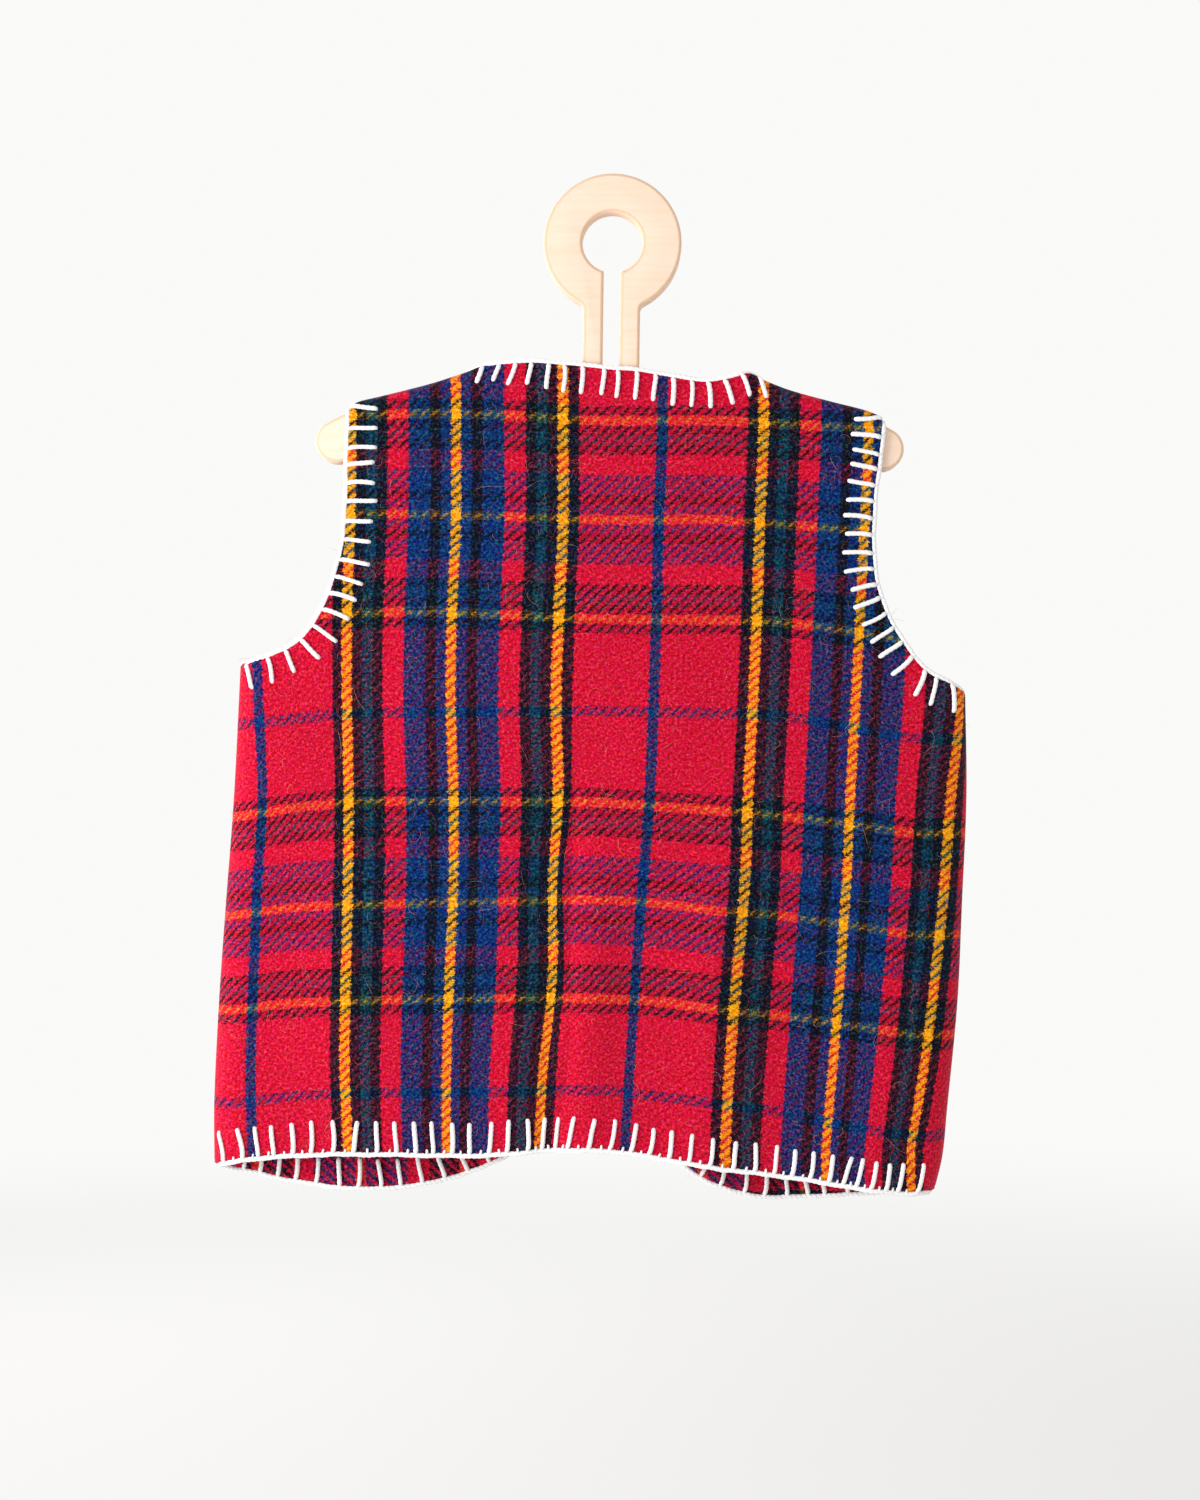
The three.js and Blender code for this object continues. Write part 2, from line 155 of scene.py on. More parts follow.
def smoothstep(value: Array, low: float, high: float) -> Array:
    """Eases from 0 at low to 1 at high.

    Args:
        value: numbers to ease.
        low: where the result leaves 0.
        high: where the result reaches 1.

    Returns:
        Array: t * t * (3 - 2 * t), where t is the share of the way from low to high.
    """
    t = np.clip((value - low) / (high - low), 0.0, 1.0)
    return t * t * (3.0 - 2.0 * t)


def unit(vectors: Array) -> Array:
    """Gives each vector, along the last axis, a length of 1."""
    return vectors / np.maximum(np.linalg.norm(vectors, axis=-1, keepdims=True), 1e-12)


def neighbours(count: int) -> tuple[Array, Array]:
    """Lists the numbers before and after each number of a row, held at its ends."""
    here = np.arange(count)
    return np.maximum(here - 1, 0), np.minimum(here + 1, count - 1)


def lengths_along(points: Array) -> Array:
    """Gives the length along a row of points up to each of them."""
    return np.concatenate([[0.0], np.cumsum(np.linalg.norm(np.diff(points, axis=0), axis=1))])


def read_along(at: Array, length: Array, pairs: Array) -> Array:
    """Reads pairs that are known at some lengths, such as (x, z), at other lengths."""
    return np.stack([np.interp(at, length, pairs[:, k]) for k in (0, 1)], -1)


def turned_left(ways: Array) -> Array:
    """Turns directions in the plane of the vest a quarter to the left."""
    return np.stack([-ways[:, 1], ways[:, 0]], -1)


def quads_of(*corners: Array) -> Array:
    """Joins four arrays of vertex numbers, one for each corner, into quads."""
    return np.stack(corners, -1).reshape(-1, 4)


@dataclass(frozen=True)
class Reading:
    """A smooth reading of a table of two columns, level outside the table."""

    places: tuple[float, ...]
    values: tuple[float, ...]

    @classmethod
    def along_x(cls, points: Sequence[Point]) -> "Reading":
        """Reads z at each x."""
        return cls(tuple(x for x, _ in points), tuple(z for _, z in points))

    @classmethod
    def along_z(cls, points: Sequence[Point]) -> "Reading":
        """Reads x at each z."""
        return cls(tuple(z for _, z in points), tuple(x for x, _ in points))

    def __call__(self, asked: Array) -> Array:
        """Reads the table by a cubic Hermite curve.

        Its slope at each row is that of the straight line between the rows on either side.

        Args:
            asked: places to read at.

        Returns:
            Array: the value at each place.
        """
        order = np.argsort(self.places)
        place = np.array(self.places, float)[order]
        value = np.array(self.values, float)[order]
        last = len(place) - 1
        before, after = neighbours(len(place))
        slope = (value[after] - value[before]) / (place[after] - place[before])
        at = np.clip(asked, place[0], place[-1])
        row = np.clip(np.searchsorted(place, at) - 1, 0, last - 1)
        span = place[row + 1] - place[row]
        t = (at - place[row]) / span
        start = value[row] * (1 + 2 * t) * (1 - t) ** 2 + slope[row] * span * t * (1 - t) ** 2
        end = value[row + 1] * t * t * (3 - 2 * t) + slope[row + 1] * span * t * t * (t - 1)
        return start + end


@dataclass(frozen=True)
class Line:
    """A smooth line in the plane of the vest, read by the share of its length."""

    points: Array

    @classmethod
    def through(cls, knots: Iterable[Point]) -> "Line":
        """Draws a Catmull-Rom curve.

        On each span it is a cubic, whose slope at a knot is half the chord between the knots beside it.

        Args:
            knots: points that the line passes through.

        Returns:
            Line: the curve.
        """
        knot = np.array(list(knots), float)
        last = len(knot) - 1
        t = np.linspace(0, last, LINE_POINTS)
        span = np.minimum(t.astype(int), last)
        t = (t - span)[:, None]
        before, start, end, after = (knot[np.clip(span + step, 0, last)] for step in (-1, 0, 1, 2))
        leaving = (end - before) / 2
        arriving = (after - start) / 2
        cubic = (2 * start - 2 * end + leaving + arriving) * t**3
        square = (3 * end - 3 * start - 2 * leaving - arriving) * t**2
        return cls(cubic + square + leaving * t + start)

    def __call__(self, share: Array) -> Array:
        """Finds the (x, z) at each share of the length."""
        length = lengths_along(self.points)
        return read_along(share * length[-1], length, self.points)


@dataclass(frozen=True)
class Turn:
    """How cloth turns over an edge: a quarter superellipse."""

    reach: float
    power: float

    def closing(self, distance: Array) -> Array:
        """Rises from 0 at the edge to 1 at the reach.

        The rise is (1 - (1 - distance / reach) ^ power) ^ (1 / power).

        Args:
            distance: distances from the edge.

        Returns:
            Array: the rise at each distance.
        """
        left = 1 - np.clip(distance / self.reach, 0, 1)
        return (1 - left**self.power) ** (1 / self.power)

    def stations(self, width: float) -> Array:
        """Spaces places through the turn so that equal parts of its curve lie between them.

        Args:
            width: length that stands for 1.

        Returns:
            Array: places from 0 to the reach, as shares of the width.
        """
        quarter = np.linspace(0, math.pi / 2, TURN_STEPS + 1)
        return (self.reach / width) * (1 - np.cos(quarter) ** (2 / self.power))


RIDGE = Turn(8.0, 3.5)
SIDE = Turn(14.0, 2.0)
left_side_x = Reading.along_z(LEFT_SIDE)
right_side_x = Reading.along_z(RIGHT_SIDE)
top_z = Reading.along_x(TOP_OF_BACK)


def stations(width: float, even: int, start: Turn | None, end: Turn | None) -> Array:
    """Spaces places from 0 to 1, close together where the cloth turns at its ends and even between.

    Args:
        width: length that stands for 1.
        even: number of even steps between the turns.
        start: turn at 0, if there is one.
        end: turn at 1, if there is one.

    Returns:
        Array: the places, rising.
    """
    first = start.stations(width) if start else np.array([0.0])
    last = 1 - end.stations(width)[::-1] if end else np.array([1.0])
    return np.concatenate([first, np.linspace(first[-1], last[0], even + 1)[1:-1], last])


def rows_of_panel() -> Array:
    """Spaces the rows from hem to shoulder, the same on back and fronts so that their seams meet."""
    side = np.linspace(0, UNDERARM_SHARE, SIDE_ROWS + 1)
    above = stations(ARMHOLE_LENGTH, ARMHOLE_ROWS, SIDE, RIDGE)[1:]
    return np.concatenate([side, UNDERARM_SHARE + above * (1 - UNDERARM_SHARE)])


@dataclass(frozen=True)
class Fold:
    """A soft fold that runs down the cloth. A hollow has a negative height."""

    top: float
    top_x: float
    foot_x: float
    half_width: float
    height: float
    foot: float = -490.0
    start_share: float = 0.45

    def rise(self, x: Array, z: Array) -> Array:
        """Works out how far the fold lifts the cloth.

        Across, it is the bell exp(-d * d), where d is the distance from the fold's line over its half
        width. Along, it eases in.

        Args:
            x: places across the vest.
            z: places down the vest.

        Returns:
            Array: the lift at each place.
        """
        along = np.clip((self.top - z) / (self.top - self.foot), 0, 1)
        across = (x - self.top_x - (self.foot_x - self.top_x) * along) / self.half_width
        return self.height * np.exp(-across * across) * smoothstep(along, 0, self.start_share)


@dataclass(frozen=True)
class Tuck:
    """A sharp crease where the cloth folds over itself a little, deeper at some heights than at others."""

    heights: tuple[float, ...]
    places: tuple[float, ...]
    depths: tuple[float, ...]
    crest: float = 7.0
    hollow: float = 3.0
    drop: tuple[float, float] = (-0.6, 2.4)
    hollow_share: float = 0.55

    def rise(self, x: Array, z: Array) -> Array:
        """Works out the lift: a crest that builds up towards the crease and drops off just past it.

        Args:
            x: places across the vest.
            z: places down the vest.

        Returns:
            Array: depth * exp(-(distance / crest) ^ 2) on the crest's side, and a hollow past the drop.
        """
        line = Reading(self.heights, self.places)(z)
        depth = Reading(self.heights, self.depths)(z)
        apart = x - line
        crest = np.exp(-((np.minimum(apart, 0) / self.crest) ** 2))
        fall = 1 - smoothstep(apart, *self.drop)
        trough = np.exp(-(((apart - self.hollow) / self.hollow) ** 2))
        return depth * (crest * fall - self.hollow_share * trough)


BACK_FOLDS = (
    Fold(-262, -25, -33, 9, -3.6),
    Fold(-270, -6, -14, 12, 2.4),
    Fold(-255, 62, 42, 15, 2.6),
    Fold(-300, 96, 84, 16, -2.0),
    Fold(-262, -118, -132, 22, 2.0),
    Fold(-262, 138, 128, 16, 1.8),
)
LEFT_FRONT_FOLDS = (
    Fold(-250, -62, -78, 14, 2.6),
    Fold(-280, -120, -134, 18, -2.4),
)
RIGHT_FRONT_FOLDS = (
    Fold(-245, 52, 46, 14, -2.6),
    Fold(-270, 104, 96, 18, 2.4),
)
# Unevenness of the thick cloth, as gentle waves: (wavelength across, wavelength down, phase, height)
WAVES = ((95.0, 260.0, 0.4, 0.35), (61.0, -170.0, 2.1, 0.25), (140.0, 90.0, 4.4, 0.3))
# Where folds ease in from the sides, and waves below the shoulders
FOLD_CLEAR = (8.0, 34.0)
WAVE_CLEAR = (120.0, 200.0)
# Up to where threads are counted along the turned cloth, from a side and from the shoulder ridge
SIDE_COUNTED = (4.0, 9.0)
RIDGE_COUNTED = (2.0, 6.0)


@dataclass(frozen=True)
class Setting:
    """How the threads of one panel lie: the numbers of the warp and weft threads at each place."""

    warp: Callable[[Array, Array], Array]
    weft: Callable[[Array, Array], Array]


@dataclass
class Panel:
    """One cut piece of the vest: a surface between four edges, bowed out over shoulder and sides."""

    name: str
    facing: int
    foot: Curve
    head: Curve
    outer: Curve
    inner: Curve
    columns: Array
    rows: Array
    shoulder: Callable[[Array], Array]
    lift: Callable[[Array], Array]
    folds: tuple[Fold | Tuck, ...]
    setting: Setting
    flat: tuple[float, float] = (0.0, 0.0)
    area: float = 0.0

    def plan(self, u: Array, v: Array) -> Array:
        """Blends the four edges into a Coons patch.

        The sum of the blends across and up, less the blend of the four corners.

        Args:
            u: shares of the way from the outer edge to the inner one, one row.
            v: shares of the way from hem to shoulder, one column.

        Returns:
            Array: (x, z) on the grid of v by u.
        """
        right, up = u[None, :, None], v[:, None, None]
        across = self.outer(v)[:, None] * (1 - right) + self.inner(v)[:, None] * right
        along = self.foot(u)[None] * (1 - up) + self.head(u)[None] * up
        ends = np.array([0.0, 1.0])
        foot, head = self.foot(ends), self.head(ends)
        low = foot[0] * (1 - right) + foot[1] * right
        high = head[0] * (1 - right) + head[1] * right
        return across + along - low * (1 - up) - high * up

    def offset(self, x: Array, z: Array) -> Array:
        """Works out how far the middle of the cloth stands from the middle plane of the vest.

        Depth times the closing of the side turn times that of the shoulder turn, which a lifted
        neckline leaves out, plus the folds and waves, faded out towards the sides.

        Args:
            x: places across the vest.
            z: places down the vest.

        Returns:
            Array: distances along the way that the panel faces.
        """
        fall = smoothstep(-z, -SHOULDER_Z, -BODY_Z)
        depth = SHOULDER_DEPTH + (BODY_DEPTH - SHOULDER_DEPTH) * fall
        inside = np.minimum(x - left_side_x(z), right_side_x(z) - x)
        lifted = self.lift(x)
        ridge = RIDGE.closing(self.shoulder(x) - z)
        fade = smoothstep(inside, *FOLD_CLEAR)
        rise = sum(fold.rise(x, z) for fold in self.folds)
        below = smoothstep(-z, *WAVE_CLEAR)
        for across, down, phase, height in WAVES:
            turn = 2 * math.pi * (x / across + z / down) + phase * (2 + self.facing)
            rise = rise + height * below * np.sin(turn)
        return depth * SIDE.closing(inside) * (lifted + (1 - lifted) * ridge) + fade * rise

    def surface(self, x: Array, z: Array) -> Array:
        """Finds points (x, y, z) on the middle of the cloth."""
        return np.stack([x, self.facing * self.offset(x, z), z], -1)

    def normal(self, x: Array, z: Array) -> Array:
        """Finds the way that the face looks, from the slopes of the offset.

        Args:
            x: places across the vest.
            z: places down the vest.

        Returns:
            Array: unit vectors.
        """
        step = SURFACE_STEP
        over = (self.offset(x + step, z) - self.offset(x - step, z)) / (2 * step)
        up = (self.offset(x, z + step) - self.offset(x, z - step)) / (2 * step)
        return unit(np.stack([-over, np.full_like(over, self.facing), -up], -1))

    def middle(self) -> Array:
        """Places the middle of the cloth on the panel's grid, as (x, y, z)."""
        plan = self.plan(self.columns, self.rows)
        return self.surface(plan[..., 0], plan[..., 1])

    def seams(self, x: Array) -> dict[str, Array]:
        """Marks the grid points that are sewn to a neighbour, at the sides and on the shoulder.

        Args:
            x: places across the vest, on the grid.

        Returns:
            dict: masks on the grid, by the name of the seam.
        """
        low = self.rows <= UNDERARM_SHARE + 1e-9
        edges = {name: np.zeros(x.shape, bool) for name in ("first", "last", "head")}
        edges["first"][low, 0] = True
        edges["last"][low, -1] = self.facing < 0
        edges["head"][-1] = self.lift(x[-1]) == 0
        return edges

    def wall_normals(self, middle: Array) -> Array:
        """Finds the grid's normals: the cross product of the ways across and up, squared at the seams.

        Args:
            middle: points on the grid.

        Returns:
            Array: unit vectors on the grid, towards the face.
        """
        high, wide = middle.shape[:2]
        column = np.clip(np.arange(wide), 1, wide - 2)
        row = np.clip(np.arange(high), 1, high - 2)
        across = middle[row][:, column + 1] - middle[row][:, column - 1]
        up = middle[row + 1][:, column] - middle[row - 1][:, column]
        normal = np.cross(across, up)
        normal = unit(normal * np.sign(normal[..., 1:2] * self.facing))
        seams = self.seams(middle[..., 0])
        below, above = neighbours(high)
        before, after = neighbours(wide)
        rise = middle[above] - middle[below]
        run = middle[:, after] - middle[:, before]
        left_first = np.sign(middle[0, -1, 0] - middle[0, 0, 0])
        for name, along, sign in (
            ("first", rise, left_first),
            ("last", rise, -left_first),
            ("head", run, left_first),
        ):
            square = np.stack([-along[..., 2], np.zeros((high, wide)), along[..., 0]], -1) * sign
            normal = np.where(seams[name][..., None], unit(square), normal)
        return normal

    def threads(self, middle: Array) -> Array:
        """Numbers the warp and weft threads on the grid.

        Places are counted along the cloth where it turns at the sides and shoulder, so the check
        keeps its width there.

        Args:
            middle: points on the grid.

        Returns:
            Array: (warp, weft) thread numbers.
        """
        x, z = middle[..., 0], middle[..., 2]
        inside = np.minimum(x - left_side_x(z), right_side_x(z) - x)
        near_side = 1 - smoothstep(inside, *SIDE_COUNTED)
        near_ridge = (1 - smoothstep(self.shoulder(x) - z, *RIDGE_COUNTED)) * (1 - self.lift(x))
        centre = x.shape[1] // 2 if self.facing < 0 else x.shape[1] - 1
        across = extra_length(middle, 1, near_side)
        across = across - across[:, centre : centre + 1]
        up = extra_length(middle, 0, near_ridge)
        wide = x + across * np.sign(x[:, -1:] - x[:, :1])
        high = z + up
        return np.stack([self.setting.warp(wide, z), self.setting.weft(x, high)], -1)

    def build(self, materials: Sequence[bpy.types.Material]) -> bpy.types.Object:
        """Makes the panel: its middle moved out half a wall each way, with rounded free edges.

        Args:
            materials: the face's finish, then the reverse's.

        Returns:
            Object: the panel.
        """
        middle = self.middle()
        high, wide = middle.shape[:2]
        normal = self.wall_normals(middle)
        sewn = np.any(list(self.seams(middle[..., 0]).values()), axis=0)
        rim = border(high, wide)
        free = np.zeros((high, wide))
        free.flat[rim] = 1.0
        free[sewn] = 0.0
        half = (WALL / 2) * (1 - PINCH * free)[..., None]
        walls = [middle + normal * half * side for side in (1, -1)]
        for wall in walls:
            wall[..., 1] = self.facing * np.maximum(self.facing * wall[..., 1], 0)
        beyond = unit(edge_directions(middle).reshape(-1, 3)[rim])
        ring = middle.reshape(-1, 3)[rim] + beyond * (EDGE_BULGE * free.flat[rim])[:, None]
        vertices = np.concatenate([walls[0].reshape(-1, 3), walls[1].reshape(-1, 3), ring])
        count = high * wide
        face = grid_faces(high, wide)
        quad = face[len(face) // 2]
        towards = np.cross(vertices[quad[1]] - vertices[quad[0]], vertices[quad[3]] - vertices[quad[0]])
        edge, outermost = rim, 2 * count + np.arange(len(rim))
        if towards[1] * self.facing < 0:
            face, edge, outermost = face[:, ::-1], rim[::-1], outermost[::-1]
        next_edge, next_outermost = np.roll(edge, -1), np.roll(outermost, -1)
        upper = quads_of(next_edge, edge, outermost, next_outermost)
        lower = quads_of(next_outermost, outermost, edge + count, next_edge + count)
        faces = np.concatenate([face, upper, face[:, ::-1] + count, lower])
        finish = np.zeros(len(faces), np.int32)
        finish[len(face) + len(upper) :] = 1
        number = self.threads(middle).reshape(-1, 2)
        mapped = np.concatenate([number, number, number[rim]])
        mapped[:, 0] *= -self.facing
        piece = new_piece(self.name, vertices, [faces], materials, {"Threads": mapped}, finish)
        log.info("%s: %d faces", piece.name, len(faces))
        return piece


def extra_length(middle: Array, axis: int, weight: Array) -> Array:
    """Sums, along one axis of the grid, how much longer the cloth is than it looks from the front.

    Each step adds its real length less its length in the plane of the vest, times the weight.

    Args:
        middle: points on the grid.
        axis: 0 to go up the rows, 1 to go across the columns.
        weight: how much each place counts.

    Returns:
        Array: the sum at each grid point, 0 at the first.
    """
    step = np.diff(middle, axis=axis)
    seen = np.linalg.norm(step[..., [0, 2]], axis=-1)
    more = np.linalg.norm(step, axis=-1) - seen
    low, high = (weight[:-1], weight[1:]) if axis == 0 else (weight[:, :-1], weight[:, 1:])
    total = np.cumsum(more * (low + high) / 2, axis=axis)
    start = np.zeros_like(total[:1] if axis == 0 else total[:, :1])
    return np.concatenate([start, total], axis=axis)


def border(high: int, wide: int) -> Array:
    """Lists the border of a grid once round: foot, last column, head backwards, first column down."""
    index = np.arange(high * wide).reshape(high, wide)
    return np.concatenate([index[0, :-1], index[:-1, -1], index[-1, :0:-1], index[:0:-1, 0]])


def edge_directions(middle: Array) -> Array:
    """Points each border point of a grid away from the grid, along its surface.

    Args:
        middle: points on the grid.

    Returns:
        Array: a direction at each grid point, 0 inside the border.
    """
    away = np.zeros_like(middle)
    away[0] += unit(middle[0] - middle[1])
    away[-1] += unit(middle[-1] - middle[-2])
    away[:, 0] += unit(middle[:, 0] - middle[:, 1])
    away[:, -1] += unit(middle[:, -1] - middle[:, -2])
    return away


def grid_faces(high: int, wide: int) -> Array:
    """Lists the quads of a grid of vertices that are numbered row by row."""
    index = np.arange(high * wide).reshape(high, wide)
    return quads_of(index[:-1, :-1], index[:-1, 1:], index[1:, 1:], index[1:, :-1])


def new_piece(
    name: str,
    vertices: Array,
    faces: Sequence[Array],
    materials: Sequence[bpy.types.Material],
    maps: dict[str, Array] | None = None,
    finish: Array | None = None,
) -> bpy.types.Object:
    """Puts worked-out points and faces into a new object at the origin.

    Args:
        name: name of the piece.
        vertices: points in millimetres.
        faces: arrays of vertex numbers, one for each number of corners.
        materials: finishes, in slot order.
        maps: UV maps by name, a pair of numbers for each vertex.
        finish: the slot of each face.

    Returns:
        Object: the piece, smooth, in the scene.
    """
    mesh = bpy.data.meshes.new(name)
    mesh.from_pydata((vertices * MM).tolist(), [], [row for block in faces for row in block.tolist()])
    for material in materials:
        mesh.materials.append(material)
    corner = np.empty(len(mesh.loops), np.int32)
    mesh.loops.foreach_get("vertex_index", corner)
    for label, pairs in (maps or {}).items():
        layer = mesh.uv_layers.new(name=label)
        layer.data.foreach_set("uv", pairs[corner].astype(np.float32).ravel())
    if finish is not None:
        mesh.polygons.foreach_set("material_index", finish)
    mesh.shade_smooth()
    mesh.update()
    piece = bpy.data.objects.new(name, mesh)
    bpy.context.scene.collection.objects.link(piece)
    return piece


# The check's warp lines on the back: thread number, then x at each of these heights
WARP_HEIGHTS = (-110, -155, -200, -245, -290, -335, -380, -425, -465)
BACK_WARP = (
    (-156, (-177.5, -177.5, -177.5, -175.5, -173.5, -176, -178, -179.5, -178.5)),
    (-118, (-130.5, -131, -132.5, -132.5, -131.5, -131.5, -132.5, -133, -131.5)),
    (-78, (-78, -78, -80, -80.5, -79, -79, -81, -82.5, -82.5)),
    (-38, (-24.5, -24.5, -26.5, -28, -27, -29.5, -29.5, -34.5, -37)),
    (-36, (-21.8, -21.8, -23.8, -25.3, -24.3, -27, -27, -32, -34.5)),
    (-32, (-16.4, -16.4, -18.4, -19.8, -21.0, -25.2, -24.4, -27.2, -30.3)),
    (0, (24.5, 22.5, 21.5, 20, 18, 14.5, 11, 8, 5.5)),
    (38, (74.5, 72.5, 71, 69, 66.5, 64.5, 60.5, 57, 55)),
    (78, (127, 125, 122.5, 120, 117.5, 115.5, 112.5, 109, 105.5)),
    (118, (177, 175, 174, 173, 167.5, 164, 159.5, 154, 147.5)),
)
# The weft lines: thread number, then z at each of these places across
WEFT_PLACES = (-190, -160, -130, -90, -50, -10, 20, 50, 80, 110, 150)
BACK_WEFT = (
    (-156, (-443, -439.5, -437.5, -437.5, -437, -436, -439, -442.5, -446.5, -453, -459)),
    (-118, (-397, -393.5, -392, -391.5, -391, -391, -392.5, -396, -399.5, -403, -409)),
    (-78, (-350.5, -346, -344.5, -343.5, -343, -342, -343.5, -347, -349.5, -353.5, -359.5)),
    (-38, (-301.5, -296.5, -293.5, -293, -293, -293.5, -295.5, -297.5, -300, -303.5, -309)),
    (0, (-256, -253, -250, -249.5, -249, -248.5, -249, -249.5, -250.5, -255.5, -262.5)),
    (38, (-202, -201, -200, -199.5, -201, -203, -203.5, -203.5, -204.5, -208, -214.5)),
    (78, (-151, -150.5, -150.5, -151, -152, -153.5, -153.5, -153.5, -155.5, -158, -161)),
    (118, (-101.5, -101.5, -101.5, -100.5, -101.5, -104, -104, -104, -105.5, -107, -109)),
)


@dataclass(frozen=True)
class Lines:
    """The courses of some numbered threads, each a smooth line, with the rest spaced evenly between."""

    stations: tuple[float, ...]
    rows: tuple[tuple[int, tuple[float, ...]], ...]

    def number(self, place: Array, along: Array) -> Array:
        """Finds the thread number at each place.

        Straight-line reading between the courses on either side, carried on past the outer ones.

        Args:
            place: positions across the threads.
            along: positions along the threads.

        Returns:
            Array: thread numbers, whole at a thread's edge.
        """
        numbers = np.array([number for number, _ in self.rows], float)
        course = np.stack([Reading(self.stations, places)(along) for _, places in self.rows])
        span = np.clip((place >= course[1:-1]).sum(0), 0, len(numbers) - 2)
        low = np.take_along_axis(course, span[None], 0)[0]
        high = np.take_along_axis(course, span[None] + 1, 0)[0]
        share = (place - low) / (high - low)
        return numbers[span] + share * (numbers[span + 1] - numbers[span])


BACK_SETTING = Setting(
    warp=lambda x, z: Lines(WARP_HEIGHTS, BACK_WARP).number(x, z),
    weft=lambda x, z: Lines(WEFT_PLACES, BACK_WEFT).number(z, x),
)


@dataclass(frozen=True)
class EvenThreads:
    """Threads of a front, mostly hidden: evenly spaced, leaning a little, with a slow sway."""

    number: float
    place: float
    level: float
    pitch: float
    lean: float = 0.0
    sway: float = 0.0
    sway_length: float = 55.0

    def count(self, across: Array, along: Array) -> Array:
        """Numbers the threads from the one whose place is known.

        Args:
            across: positions across the threads.
            along: positions along the threads.

        Returns:
            Array: the known number plus the distance from its line over the pitch.
        """
        sway = self.sway * np.sin(along / self.sway_length)
        line = self.place + self.lean * (along - self.level) + sway
        return self.number + (across - line) / self.pitch


def front_setting(number: float, place: float, lean: float) -> Setting:
    """Lays out a front's check from one known warp line at its hem.

    Args:
        number: number of the known warp thread.
        place: its x at the hem.
        lean: how far the warp leans to +x for each millimetre up.

    Returns:
        Setting: the front's threads.
    """
    warp = EvenThreads(number, place, level=-480.0, pitch=1.3125, lean=lean, sway=1.2)
    weft = EvenThreads(number=-156.0, place=-452.0, level=0.0, pitch=1.245, lean=0.012, sway=1.0)
    return Setting(warp=warp.count, weft=lambda x, z: weft.count(z, x))


def side_edge(hem: Point, underarm: Point, side_x: Reading, armhole: Sequence[Point]) -> Curve:
    """Joins a side seam and the armhole above it into one edge, from hem to shoulder.

    Args:
        hem: lower end of the side seam.
        underarm: upper end of the side seam.
        side_x: x of the seam at each z.
        armhole: points round the armhole.

    Returns:
        Curve: (x, z) by the share of the panel's height.
    """
    round_arm = Line.through(armhole)

    def edge(share: Array) -> Array:
        """Reads the seam by height, and the armhole by length.

        Args:
            share: shares of the panel's height.

        Returns:
            Array: (x, z) at each share.
        """
        z = hem[1] + (underarm[1] - hem[1]) * np.minimum(share / UNDERARM_SHARE, 1)
        seam = np.stack([side_x(z), z], -1)
        above = round_arm(np.clip((share - UNDERARM_SHARE) / (1 - UNDERARM_SHARE), 0, 1))
        return np.where((share > UNDERARM_SHARE)[:, None], above, seam)

    return edge


left_edge = side_edge(LEFT_HEM, LEFT_UNDERARM, left_side_x, LEFT_ARMHOLE)
right_edge = side_edge(RIGHT_HEM, RIGHT_UNDERARM, right_side_x, RIGHT_ARMHOLE)


def level_edge(start: Point, end: Point, height: Reading) -> Curve:
    """Runs evenly across from one point to another at the heights that a reading gives.

    Args:
        start: where the edge starts.
        end: where it ends. Only x is read from either.
        height: z at each x.

    Returns:
        Curve: (x, z) by the share of the way across.
    """

    def edge(share: Array) -> Array:
        """Reads the height at an even share of the way across."""
        x = start[0] + (end[0] - start[0]) * share
        return np.stack([x, height(x)], -1)

    return edge


def back_panel() -> Panel:
    """Lays out the back, which lifts off the shoulder ridge across the neck.

    Returns:
        Panel: the back.
    """

    def lift(x: Array) -> Array:
        """Rises from 0 on the shoulders to 1 across the neck."""
        left = smoothstep(x, LEFT_NECK_X, LEFT_NECK_X + NECK_RISE)
        return left * smoothstep(-x, -RIGHT_NECK_X, -RIGHT_NECK_X + NECK_RISE)

    return Panel(
        name="back_cloth",
        facing=-1,
        foot=level_edge(LEFT_HEM, RIGHT_HEM, Reading.along_x(HEM_OF_BACK)),
        head=level_edge(LEFT_TIP, RIGHT_TIP, top_z),
        outer=left_edge,
        inner=right_edge,
        columns=stations(BACK_WIDTH, BACK_COLUMNS, SIDE, SIDE),
        rows=rows_of_panel(),
        shoulder=top_z,
        lift=lift,
        folds=(*BACK_FOLDS, CENTRE_TUCK),
        setting=BACK_SETTING,
        flat=(0.384, 0.412),
        area=0.134,
    )


CENTRE_TUCK = Tuck(
    heights=(-262, -292, -320, -345, -372, -398, -425, -455, -480),
    places=(-21.5, -22.8, -23.6, -24.6, -24.6, -23.0, -25.6, -29.6, -32.0),
    depths=(0.0, 1.3, 2.1, 2.3, 2.1, 1.2, 1.7, 1.1, 0.7),
)


